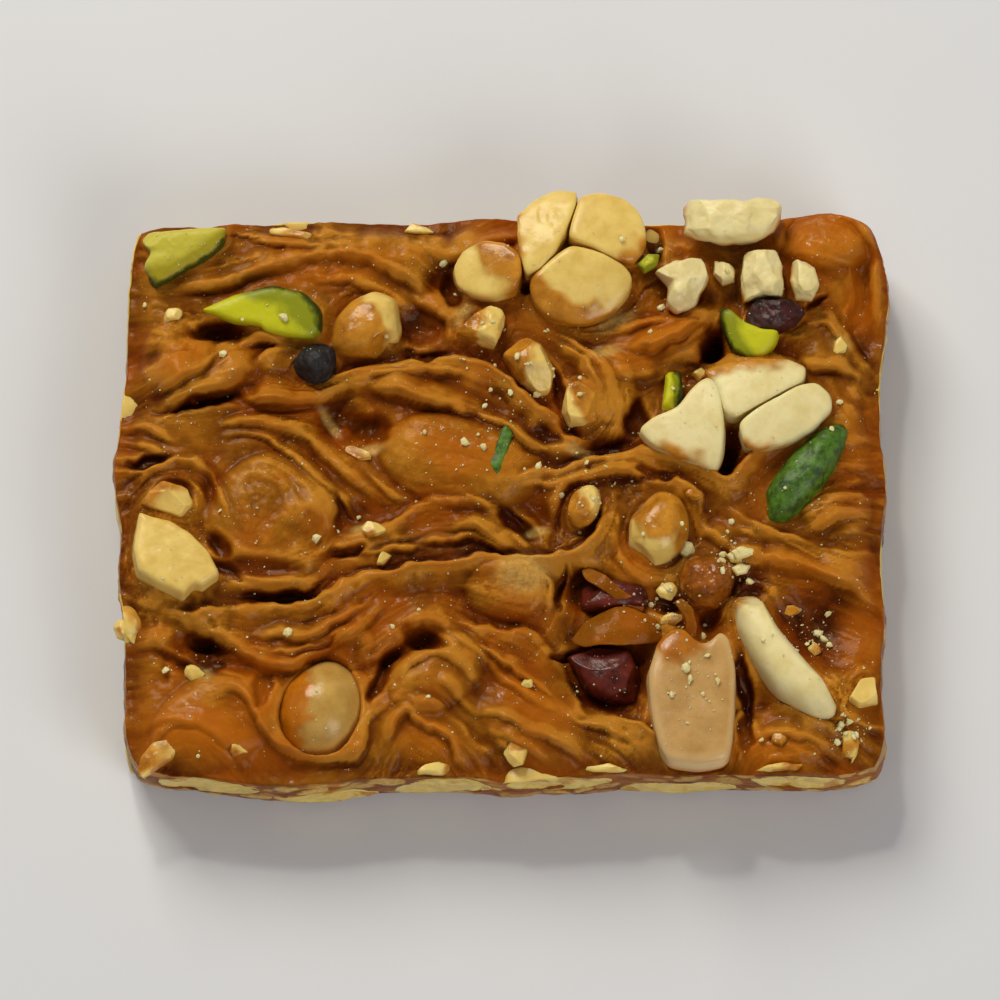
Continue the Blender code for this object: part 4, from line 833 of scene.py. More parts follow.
# Nuts cut through at the sides: place along the side, level, half length, half
# height, depth into the slab and turn in the plane of the side in degrees
SIDE_NUTS = {
    "left": [(17.5, 5.6, 5.2, 2.3, 1.3, 6), (8.2, 5.8, 3.6, 2.1, 3.0, -10), (-0.4, 3.7, 4.6, 1.9, 3.0, 8),
             (-10.6, 5.9, 3.0, 2.1, 2.2, 14), (-18.2, 3.4, 4.0, 1.9, 3.0, -6)],
    "right": [(19.4, 3.5, 3.2, 1.9, 3.0, 8), (11.4, 5.8, 3.8, 2.0, 2.6, -8), (2.2, 3.8, 4.4, 2.0, 2.8, 5),
              (-6.4, 5.8, 3.4, 1.9, 3.0, 12), (-15.4, 3.6, 4.4, 1.9, 3.0, -7)],
    "front": [(-24.6, 5.4, 4.2, 2.0, 3.2, 8), (-14.6, 2.9, 4.2, 1.5, 2.4, -4), (-5.2, 4.8, 4.0, 2.2, 3.4, 16),
              (4.4, 6.2, 4.4, 1.9, 3.0, -6), (14.4, 3.5, 4.6, 1.9, 3.0, 4), (24.4, 5.4, 4.2, 2.0, 2.8, -8)],
    "back": [(-26.0, 3.8, 4.0, 1.9, 3.0, -6), (-17.2, 6.2, 3.4, 1.9, 2.0, 5), (-8.4, 4.2, 4.2, 2.1, 3.2, 12),
             (2.6, 4.4, 4.6, 2.0, 3.0, -5), (12.2, 5.6, 3.4, 1.8, 2.6, 10), (20.0, 3.4, 3.6, 1.8, 3.0, -8),
             (27.0, 5.6, 2.9, 2.0, 2.6, 5)],
}
CUT_PROUD = 0.14
CUT_LUMPS = 0.09

NUT_AROUND = 96
NUT_RINGS = 44

# How each nut's surface was left: roughness in millimetres, corner rounding, number
# of broken facets, and where the sugar film lies on it: a direction in plan, how
# much of it is covered
NUT_FINISH = {
    "pistachio_wedge": (0.07, 3, 2, (0, 0), -2.0), "pistachio_half": (0.05, 3, 0, (0, 0), -2.0),
    "black_seed": (0.2, 10, 0, (0, 0), -2.0), "coated_half": (0.06, 10, 2, (-1, -0.4), 0.5),
    "cracked_peanut_left": (0.05, 6, 0, (1, 0.5), 0.15), "cracked_peanut_top": (0.05, 4, 0, (-1, 0), -0.8),
    "cracked_peanut_right": (0.04, 8, 0, (0.4, -1), -0.75), "cracked_peanut_front": (0.04, 8, 0, (-0.8, -1), -0.15),
    "yellow_bit": (0.12, 3, 6, (-1, 0.3), 0.0), "broken_film": (0.07, 6, 5, (-1, 0.6), 0.1),
    "broken_low": (0.07, 6, 5, (1, 0.3), -0.1), "white_block": (0.15, 2, 9, (0, 0), -2.0),
    "white_fork": (0.13, 2, 8, (0, 0), -2.0), "white_flake": (0.1, 2, 7, (0, 0), -2.0),
    "white_chunk": (0.14, 2, 9, (0, 0), -2.0), "white_strip": (0.13, 2, 8, (0, 0), -2.0),
    "dark_bit": (0.15, 6, 5, (0, 0), -2.0), "pistachio_moon": (0.04, 6, 0, (0, 0), -2.0),
    "pistachio_sliver": (0.05, 4, 4, (0, 0), -2.0), "white_peanut_left": (0.05, 6, 0, (-0.3, -1), -0.8),
    "white_peanut_middle": (0.05, 4, 0, (-0.3, 1), -0.3), "white_peanut_right": (0.05, 5, 0, (0, -1), -0.9),
    "pistachio_whole": (0.1, 12, 2, (0, 0), -2.0), "cream_shard": (0.05, 1, 0, (0.5, 1), -0.72),
    "cream_shard_top": (0.05, 5, 4, (-0.3, 0.6), 0.0), "whole_peanut": (0.03, 14, 0, (-1, 0.1), -0.12),
    "oval_bit": (0.06, 8, 2, (-0.6, -0.6), 0.1), "olive_nut": (0.07, 12, 2, (0.4, 0.8), 0.3),
    "red_nut_large": (0.06, 6, 3, (0, 0), -2.0), "red_nut_small": (0.06, 6, 3, (0, 0), -2.0),
    "peanut_half_flat": (0.03, 4, 0, (-0.2, 0.9), -0.75), "peanut_half_curved": (0.02, 5, 2, (-0.5, 1), -1.2),
    "cream_edge_bit": (0.05, 6, 2, (0, 0), -1.2), "coated_ball": (0.2, 12, 0, (0, 0), 1.0),
}
# Nuts that cracked in place still share one dome: its centre, length, width and
# turn, its top and how far it falls to that oval
DOMES = {
    "cracked_peanut": ((5.2, 20.2), 17.0, 12.4, 20, 12.0, 1.7),
    "white_peanut": ((18.6, 6.8), 18.0, 11.0, 12, 11.9, 1.3),
}
CRACK_GROWTH = 0.28
# Nuts that the sugar holds: their widest place lies lower, and it reaches further in
HELD_NUTS = {"coated_half": 0.9, "whole_peanut": 0.3, "olive_nut": 0.8, "oval_bit": 0.35, "broken_film": 0.45,
             "broken_low": 0.45, "yellow_bit": 0.3, "cream_shard_top": 0.4, "coated_ball": 0.5, "black_seed": 0.4,
             "cracked_peanut_left": 0.7, "pistachio_whole": 0.4, "peanut_half_curved": 0.3, "cream_edge_bit": 0.3}
HELD_WAIST = 0.32
BROKEN_ANGLE = math.radians(24)
# The side of each cut pistachio that keeps its dark rind
RIND_WAYS = {
    "pistachio_wedge": (0.6, -0.8), "pistachio_half": (0.8, 0.6), "pistachio_moon": (-0.9, -0.3),
    "pistachio_sliver": (1.0, 0.1),
}
NUT_BELOW = 14
FILM_THICKNESS = 0.13


def even_outline(outline, count, soften):
    """The closed outline read at even steps, its corners rounded by averaging."""
    plan = np.array(outline, dtype=float)
    ahead = np.roll(plan, -1, axis=0)
    if (plan[:, 0] * ahead[:, 1] - plan[:, 1] * ahead[:, 0]).sum() < 0:
        plan = plan[::-1]
    closed = np.vstack([plan, plan[:1]])
    travelled = np.concatenate([[0], np.cumsum(np.hypot(*np.diff(closed, axis=0).T))])
    steps = np.linspace(0, travelled[-1], count, endpoint=False)
    even = np.column_stack([np.interp(steps, travelled, closed[:, 0]), np.interp(steps, travelled, closed[:, 1])])
    for _ in range(soften):
        even = 0.25 * np.roll(even, 1, axis=0) + 0.5 * even + 0.25 * np.roll(even, -1, axis=0)
    return even


def tilted(points, tilt):
    """Points turned about X and then Y by small angles in degrees."""
    x, y = math.radians(tilt[0]), math.radians(tilt[1])
    about_x = np.array([[1, 0, 0], [0, math.cos(x), -math.sin(x)], [0, math.sin(x), math.cos(x)]])
    about_y = np.array([[math.cos(y), 0, math.sin(y)], [0, 1, 0], [-math.sin(y), 0, math.cos(y)]])
    return points @ (about_x @ about_y).T


def even_profile(power, height, radius, count):
    """Shares of the radius and of the height up a quarter of a superellipse, at even
    steps from its rim to just before its pole."""
    angle = np.linspace(0, math.pi / 2, 500)
    out = np.clip(np.cos(angle), 0, 1) ** power
    up = np.sin(angle) ** power
    travelled = np.concatenate([[0], np.cumsum(np.hypot(np.diff(out) * radius, np.diff(up) * height))])
    even = np.linspace(0, travelled[-1], count + 1)[:-1]
    return np.interp(even, travelled, out), np.interp(even, travelled, up)


def nut_shape(outline, low, high, round_top, seed, rough, soften, facets=0, dome=None, waist=0.55):
    """The outline drawn in to a pole below and above along superellipses, its top
    laid on the shared dome if it has one, clipped by seeded planes that leave broken
    facets, and roughened with noise. Returns the points about its centre, that
    centre, the share of the way out to its rim, and the way out at each point."""
    plan = even_outline(outline, NUT_AROUND, soften)
    centre = plan.mean(axis=0)
    radius = np.hypot(*(plan - centre).T).mean()
    middle = low + waist * (high - low)
    if dome:
        plan = centre + (plan - centre) * (1 + CRACK_GROWTH / radius)
    out_low, up_low = even_profile(0.8, middle - low, radius, NUT_BELOW + 1)
    out_high, up_high = even_profile(0.16 if dome else round_top, high - middle, radius, NUT_RINGS - NUT_BELOW)
    narrow = np.concatenate([out_low[:0:-1], out_high])
    share = np.concatenate([-up_low[:0:-1], up_high])
    lift = share * np.where(share > 0, high - middle, middle - low)
    spread = (plan - centre)[None] * narrow[:, None, None]
    local = np.concatenate([spread, np.broadcast_to(lift[:, None, None], spread.shape[:2] + (1,))], axis=2)
    local = np.vstack([local.reshape(-1, 3), [[0, 0, low - middle], [0, 0, high - middle]]])
    rim = np.append(np.repeat(narrow, NUT_AROUND), [0.0, 0.0])
    if dome:
        place, length, width, degrees, top, fall = dome
        reach = oval_reach(local[:, 0] + centre[0], local[:, 1] + centre[1], place, length, width, degrees)
        share = np.append(np.repeat(np.clip(share, 0, None), NUT_AROUND), [0.0, 1.0])
        local[:, 2] = np.where(local[:, 2] > 0, (top - fall * reach - middle) * share, local[:, 2])
    draws = np.random.default_rng(seed)
    for _ in range(facets):
        way = draws.normal(size=3)
        way[2] = abs(way[2])
        way /= np.linalg.norm(way)
        reach = (local @ way).max() * (1 - draws.uniform(0.05, 0.13) - 0.14 * way[2])
        local = local - np.clip(local @ way - reach, 0, None)[:, None] * way
    size = np.array([np.ptp(plan[:, 0]), np.ptp(plan[:, 1]), high - low]) / 2
    unit = local / size
    unit /= np.linalg.norm(unit, axis=1)[:, None] + 1e-6
    bump = rough * fractal(local[:, 0] + seed, local[:, 1], local[:, 2], 1.4, 4, seed)
    chips = noise(local[:, 0], local[:, 1] + seed, local[:, 2], 1.9, seed + 9)
    bump = bump - rough * smooth_step(0.3, 0.6, chips)
    local = local + unit * bump[:, None]
    return local, np.array([centre[0], centre[1], middle]), rim, unit


def nut_faces(mirrored=False):
    """Faces of the rings and their two poles, turned over where the nut is mirrored."""
    total = NUT_RINGS * NUT_AROUND
    faces = [ring_faces(NUT_RINGS, NUT_AROUND), cap_faces(NUT_AROUND, 0, total, False),
             cap_faces(NUT_AROUND, total - NUT_AROUND, total + 1, True)]
    return [face[:, ::-1] for face in faces] if mirrored else faces


def make_top_nuts(materials, slots):
    """Every nut that shows on top, as its own piece in place of its CAD node."""
    made = []
    for number, (name, (outline, low, high, round_top, tilt, _)) in enumerate(TOP_NUTS.items()):
        rough, soften, facets, film_way, film_cover = NUT_FINISH[name]
        dome = next((shape for group, shape in DOMES.items() if name.startswith(group)), None)
        tilt = (0, 0) if dome else tilt
        waist = HELD_WAIST if name in HELD_NUTS else 0.5
        local, centre, rim, unit = nut_shape(outline, low, high, round_top, 100 + number, rough, soften, facets, dome,
                                             waist)
        size = np.ptp(local[:, :2], axis=0) / 2
        toward = local[:, 0] * film_way[0] / size[0] + local[:, 1] * film_way[1] / size[1]
        film = toward + film_cover + 0.4 * fractal(local[:, 0], local[:, 1], local[:, 2], 2.2, 3, 71 + number)
        film = smooth_step(-0.14, 0.26, film)
        height = local[:, 2] / np.abs(local[:, 2]).max()
        creep = height + 0.35 * noise(local[:, 0], local[:, 1], local[:, 2], 1.8, 73 + number)
        film = np.maximum(film, smooth_step(0.2, -0.25, creep))
        local = local + (FILM_THICKNESS * film)[:, None] * unit
        points = tilted(local, tilt) + centre
        up = np.clip(local[:, 2] / np.abs(local[:, 2]).max(), -1, 1)
        if name in RIND_WAYS:
            outward = unit[:, 0] * RIND_WAYS[name][0] + unit[:, 1] * RIND_WAYS[name][1]
            rim = 0.8 * rim * smooth_step(-0.15, 0.3, outward)
        marks = {"film": film, "rim": rim, "up": up, "place": local}
        mesh = fill_mesh(name, points, nut_faces(), marks)
        slot = slots[name]
        if facets > 4:
            mesh.set_sharp_from_angle(angle=BROKEN_ANGLE)
        made.append(add_piece(name + "_looks", mesh, materials.get(name, materials[slot]), [name]))
    return made


def side_nut_shape(side, along, level, half_length, half_height, depth, degrees):
    """A half ellipsoid from its deep end to the rim of its cut face, then the face
    drawn in to its middle, a little rough and hollow."""
    turn = math.radians(degrees)
    deep = NUT_RINGS * 2 // 3
    angle = np.linspace(0, math.pi / 2, deep + 1)[1:]
    narrow = np.concatenate([np.sin(angle), np.linspace(1, 0, NUT_RINGS - deep + 1)[1:-1], [0.03]])
    inward = np.concatenate([np.cos(angle) * depth, np.zeros(NUT_RINGS - deep)])
    step = TAU * np.arange(NUT_AROUND) / NUT_AROUND
    lump = 1 + CUT_LUMPS * np.cos(3 * step + along) + 0.03 * np.cos(5 * step + 2 * level)
    across = narrow[:, None] * (lump * half_length * np.cos(step))[None]
    up = narrow[:, None] * (lump * half_height * np.sin(step))[None]
    shift = across * math.cos(turn) - up * math.sin(turn)
    rise = across * math.sin(turn) + up * math.cos(turn)
    face = CUT_PROUD + edge_offset(side, (along + shift).ravel()).reshape(shift.shape)
    half = (SLAB_WIDTH if side in ("left", "right") else SLAB_LENGTH) / 2
    face = face - CORNER_CUT * np.clip(np.abs(along + shift) / half, 0, 1.05) ** 11
    proud = face - np.broadcast_to(inward[:, None], shift.shape)
    on_face = np.broadcast_to((inward == 0)[:, None], shift.shape)
    worn = 0.16 * fractal(shift + along, rise + level, 0 * rise, 1.6, 4, 81) - 0.12
    rim = np.broadcast_to(narrow[:, None], shift.shape)
    proud = proud + np.where(on_face, worn * smooth_step(1.0, 0.85, rim), 0)
    shift = np.append(shift.ravel(), [0.0, 0.0])
    rise = np.append(rise.ravel(), [0.0, 0.0])
    proud = np.append(proud.ravel(), [face[-1].mean() - depth, proud[-1].mean()])
    rim = np.append(rim.ravel(), [1.0, 0.0])
    return on_side(side, along + shift, level + rise, proud), rim


def on_side(side, along, level, proud):
    """Points from their places along a cut side, their levels and how proud they stand."""
    half_length, half_width = SLAB_LENGTH / 2, SLAB_WIDTH / 2
    if side == "front":
        return np.column_stack([along, -half_width - proud, level])
    if side == "back":
        return np.column_stack([along, half_width + proud, level])
    if side == "right":
        return np.column_stack([half_length + proud, along, level])
    return np.column_stack([-half_length - proud, along, level])


def make_side_nuts(materials):
    """Half ellipsoids whose cut faces show in the slab's sides."""
    for side, rows in SIDE_NUTS.items():
        for index, row in enumerate(rows):
            points, rim = side_nut_shape(side, *row)
            film = 0.8 * smooth_step(0.25, 0.8, fractal(points[:, 0], points[:, 1], points[:, 2], 1.3, 3, 83))
            marks = {"film": film, "rim": rim, "up": 0 * rim, "place": points}
            mesh = fill_mesh("cut_nut", points, nut_faces(side in ("left", "back")), marks)
            add_piece(f"{side}_cut_{index + 1}", mesh, materials["peanut"], [f"{side}_nut_{index + 1}"])


# Small fragments stuck in the top: centre, length, width and turn
FRAGMENTS = [
    ((13.8, -10.4), 1.8, 1.3, 20), ((19.2, -5.3), 2.0, 1.1, -10), ((23.7, -9.3), 1.5, 1.2, 0),
    ((25.6, -12.6), 1.2, 0.9, 40), ((15.6, 0.0), 1.3, 1.0, 0), ((27.8, 12.8), 1.7, 1.4, 80),
    ((28.4, -21.0), 3.0, 1.7, 100), ((1.0, -21.6), 2.6, 2.0, 60), ((-28.4, -21.8), 4.4, 1.7, 48),
    ((-10.8, -3.1), 2.0, 1.2, 10), ((-10.0, -5.4), 1.2, 1.0, 0), ((16.3, 10.4), 1.6, 1.0, 10),
    ((11.6, 19.8), 1.7, 0.9, 20), ((-27.4, 15.4), 1.6, 1.2, 30), ((-12.0, 3.6), 2.4, 1.0, -20),
    ((-17.3, 22.4), 4.4, 1.1, -6), ((-31.0, -11.2), 2.8, 1.7, -30), ((-25.6, -15.0), 1.8, 1.1, 0),
    ((-7.0, 22.9), 2.6, 1.0, 4), ((-5.6, -23.0), 3.4, 0.9, 3), ((8.4, -23.0), 4.0, 0.8, -2),
    ((22.6, -22.9), 4.4, 0.7, 2),
    ((2.0, -16.0), 1.2, 0.9, 0), ((-22.0, -21.6), 1.3, 1.0, 0), ((22.8, -20.6), 1.3, 1.0, 30),
]
# Thin films of sugar and bits that lie over other things: outline, lowest and
# highest level, tilt about X and Y, and material. Levels under 3 count from the
# surface of the sugar
LOOSE_BITS = {
    "sunk_sliver": ([(0.4, 5.9), (0.8, 5.0), (0.3, 3.2), (-0.5, 1.4), (-1.2, 0.9), (-1.4, 1.8), (-0.8, 3.6),
                     (-0.2, 5.4)], -0.8, 0.16, (0, 0), "pistachio_dark"),
    "film_lobe": ([(5.4, -12.0), (6.4, -10.6), (8.0, -9.5), (10.2, -9.3), (12.2, -10.0), (13.8, -11.6),
                   (12.2, -12.4), (10.2, -12.7), (8.2, -12.8), (6.6, -12.9)], 9.0, 9.4, (-14, 2), "caramel"),
    "film_strip": ([(6.4, -6.2), (7.2, -6.0), (8.6, -7.0), (9.9, -8.2), (11.8, -9.2), (11.5, -9.9), (9.6, -9.2),
                    (8.0, -8.0), (6.8, -7.2)], 9.0, 9.35, (0, 6), "caramel"),
    "film_flap": ([(14.0, -9.2), (14.7, -8.9), (15.6, -9.8), (16.0, -11.2), (15.8, -12.4), (15.0, -12.0),
                   (15.0, -10.6)], 9.6, 10.0, (8, 0), "caramel"),
    "green_crumb": ([(10.9, 19.4), (11.8, 20.3), (12.9, 20.2), (12.5, 19.3), (11.6, 18.7)],
                    9.3, 10.8, (0, 0), "pistachio"),
    "cream_chip": ([(18.7, -4.9), (19.6, -4.5), (20.9, -4.7), (21.0, -5.1), (20.0, -5.3), (19.1, -5.5)],
                   -0.4, 0.4, (10, -12), "peanut_white"),
    "cream_chip_2": ([(18.8, -6.2), (19.3, -5.7), (20.4, -5.9), (20.1, -6.5), (19.2, -6.8)],
                     -0.4, 0.45, (-14, 8), "peanut_white"),
    "cream_chip_3": ([(14.1, -4.4), (14.9, -3.7), (15.5, -3.9), (15.9, -4.9), (15.1, -5.2), (14.6, -4.9)],
                     -0.4, 0.5, (8, 14), "peanut_white"),
    "cream_chip_4": ([(12.5, -7.9), (12.9, -6.9), (13.8, -6.8), (14.3, -7.8), (13.8, -8.7), (12.9, -8.4)],
                     -0.3, 0.5, (-10, -10), "peanut"),
}
CRUMBS = 230
DUST = 2400
# Where crumbs gathered: centre and spread
CRUMB_HEAPS = [((13.5, -9.5), 2.2), ((15.5, -16.5), 2.6), ((19.0, -5.5), 1.8), ((25.5, -12.0), 2.6),
               ((6.0, 1.0), 3.0), ((1.0, 9.0), 4.0), ((28.4, -20.0), 1.6)]


def surface_levels(pieces, x, y):
    """Level of the highest surface over each plan point, by rays from above."""
    view = bpy.context.evaluated_depsgraph_get()
    trees = [BVHTree.FromObject(piece, view) for piece in pieces]
    levels = np.full(len(x), SLAB_TOP)
    for index in range(len(x)):
        start = Vector(((x[index] + PLAN_SHIFT[0]) * MM, (y[index] + PLAN_SHIFT[1]) * MM, 0.05))
        hits = [tree.ray_cast(start, Vector((0, 0, -1)))[0] for tree in trees]
        levels[index] = max(hit.z for hit in hits if hit is not None) / MM
    return levels


def scattered_places(draws, count, gathered):
    """Plan points over the slab, that share of them in the heaps."""
    x = draws.uniform(-0.485, 0.485, count) * SLAB_LENGTH
    y = draws.uniform(-0.475, 0.475, count) * SLAB_WIDTH
    heap = draws.integers(0, len(CRUMB_HEAPS), count)
    centres = np.array([centre for centre, _ in CRUMB_HEAPS])[heap]
    spread = np.array([reach for _, reach in CRUMB_HEAPS])[heap]
    in_heap = draws.uniform(0, 1, count) < gathered
    heaped = centres + draws.normal(0, 0.6, (count, 2)) * spread[:, None]
    return np.where(in_heap, heaped[:, 0], x), np.where(in_heap, heaped[:, 1], y)


def grains(draws, x, y, levels, sizes):
    """Icosahedra pulled unevenly and turned at random, one for each place."""
    golden = (1 + math.sqrt(5)) / 2
    corners = []
    for a in (-1, 1):
        for b in (-golden, golden):
            corners += [(0, a, b), (a, b, 0), (b, 0, a)]
    corners = np.array(corners, dtype=float) / math.sqrt(1 + golden ** 2)
    hull = bmesh.new()
    for corner in corners:
        hull.verts.new(corner)
    bmesh.ops.convex_hull(hull, input=hull.verts)
    hull.verts.index_update()
    corners = np.array([v.co[:] for v in hull.verts])
    faces = np.array([[v.index for v in face.verts] for face in hull.faces])
    hull.free()
    count = len(x)
    shape = corners[None] * draws.uniform(0.7, 1.25, (count, 12, 1)) * draws.uniform(0.55, 1.2, (count, 1, 3))
    turn = draws.normal(size=(count, 3, 3))
    turn = np.linalg.qr(turn)[0]
    turn *= np.sign(np.linalg.det(turn))[:, None, None]
    points = np.einsum("nij,nkj->nki", turn, shape) * (sizes / 2)[:, None, None]
    points += np.stack([x, y, levels + 0.18 * sizes], axis=1)[:, None]
    return points.reshape(-1, 3), (faces[None] + 12 * np.arange(count)[:, None, None]).reshape(-1, 3)


def make_fragments(materials, slab):
    """The larger bits that are stuck in the sugar, joined as one piece."""
    draws = np.random.default_rng(91)
    x = np.array([centre[0] for centre, *_ in FRAGMENTS])
    y = np.array([centre[1] for centre, *_ in FRAGMENTS])
    levels = surface_levels([slab], x, y)
    blocks, faces, total = [], [], 0
    marks = {"film": [], "rim": [], "up": [], "place": []}
    for number, (centre, length, width, degrees) in enumerate(FRAGMENTS):
        outline = oval(centre, length, width, degrees, count=9)
        outline = [(px + draws.normal(0, 0.14), py + draws.normal(0, 0.14)) for px, py in outline]
        level = levels[number]
        local, middle, rim, _ = nut_shape(outline, level - 0.9, level + 0.62, 0.45, 300 + number, 0.05, 2, 5)
        points = tilted(local, tuple(draws.uniform(-12, 12, 2))) + middle
        blocks.append(points)
        faces += [part + total for part in nut_faces()]
        total += len(points)
        film = smooth_step(0.0, 0.4, noise(points[:, 0], points[:, 1], points[:, 2], 1.4, 93))
        for mark, values in (("film", film), ("rim", rim), ("up", local[:, 2]), ("place", local)):
            marks[mark].append(values)
    joined = {mark: np.concatenate(values) for mark, values in marks.items()}
    mesh = fill_mesh("stuck_bits", np.concatenate(blocks), faces, joined)
    return add_piece("stuck_bits", mesh, materials["peanut"], [])


def make_loose_bits(materials, slab):
    """The films and bits of their own shape, each as a piece."""
    made = []
    centres = np.array([np.mean(outline, axis=0) for outline, *_ in LOOSE_BITS.values()])
    levels = surface_levels([slab], centres[:, 0], centres[:, 1])
    for number, (name, (outline, low, high, tilt, key)) in enumerate(LOOSE_BITS.items()):
        if high < 3:
            low, high = low + levels[number], high + levels[number]
        thin = key == "caramel"
        local, centre, rim, _ = nut_shape(outline, low, high, 0.5, 400 + number, 0.05 if thin else 0.1, 7 if thin else 4,
                                          0 if thin else 4)
        if thin:
            reach = np.hypot(local[:, 0], local[:, 1])
            local[:, 2] += 0.4 * noise(local[:, 0], local[:, 1], 0 * reach, 1.8, 97) - 0.06 * reach ** 2
        marks = {"film": 0 * rim, "rim": 0.5 * rim, "up": rim, "place": local}
        mesh = fill_mesh(name, tilted(local, tilt) + centre, nut_faces(), marks)
        made.append(add_piece(name, mesh, materials[key], []))
    return made


def make_crumbs(materials, pieces):
    """Crumbs of nut and a dust of sugar, each kind one piece of joined grains."""
    draws = np.random.default_rng(95)
    for name, count, gathered, smallest, largest in (("crumbs", CRUMBS, 0.55, 0.22, 0.85),
                                                     ("sugar_dust", DUST, 0.2, 0.06, 0.2)):
        x, y = scattered_places(draws, count, gathered)
        levels = surface_levels(pieces, x, y)
        sizes = smallest * (largest / smallest) ** (draws.uniform(0, 1, count) ** 1.8)
        points, faces = grains(draws, x, y, levels, sizes)
        none = np.zeros(len(points))
        mesh = fill_mesh(name, points, [faces], {"film": none, "rim": none, "up": none, "place": points})
        mesh.polygons.foreach_set("use_smooth", np.zeros(len(mesh.polygons), dtype=bool))
        add_piece(name, mesh, materials["peanut_white"], [])


# Materials

def linear(code):
    """An sRGB hex value as linear RGBA."""
    parts = [int(code[k:k + 2], 16) / 255 for k in (1, 3, 5)]
    return tuple(p / 12.92 if p <= 0.04045 else ((p + 0.055) / 1.055) ** 2.4 for p in parts) + (1.0,)


def add_node(tree, kind, settings=None, links=None, stops=None):
    """One node with its settings, its inputs' values and links, and a ramp's stops."""
    node = tree.nodes.new(kind)
    for key, value in (settings or {}).items():
        if isinstance(key, str) and hasattr(node, key):
            setattr(node, key, value)
        else:
            node.inputs[key].default_value = value
    for key, socket in (links or {}).items():
        tree.links.new(socket, node.inputs[key])
    if stops:
        ramp = node.color_ramp
        while len(ramp.elements) < len(stops):
            ramp.elements.new(1.0)
        for element, (place, code) in zip(ramp.elements, stops):
            element.position = place
            element.color = linear(code) if isinstance(code, str) else (code, code, code, 1.0)
    return node


def new_material(name, **constants):
    """A Principled material with its constant sockets set."""
    material = bpy.data.materials.new(name)
    material.use_nodes = True
    shader = material.node_tree.nodes["Principled BSDF"]
    for socket, value in constants.items():
        shader.inputs[socket.replace("_", " ")].default_value = value
    return material, material.node_tree, shader


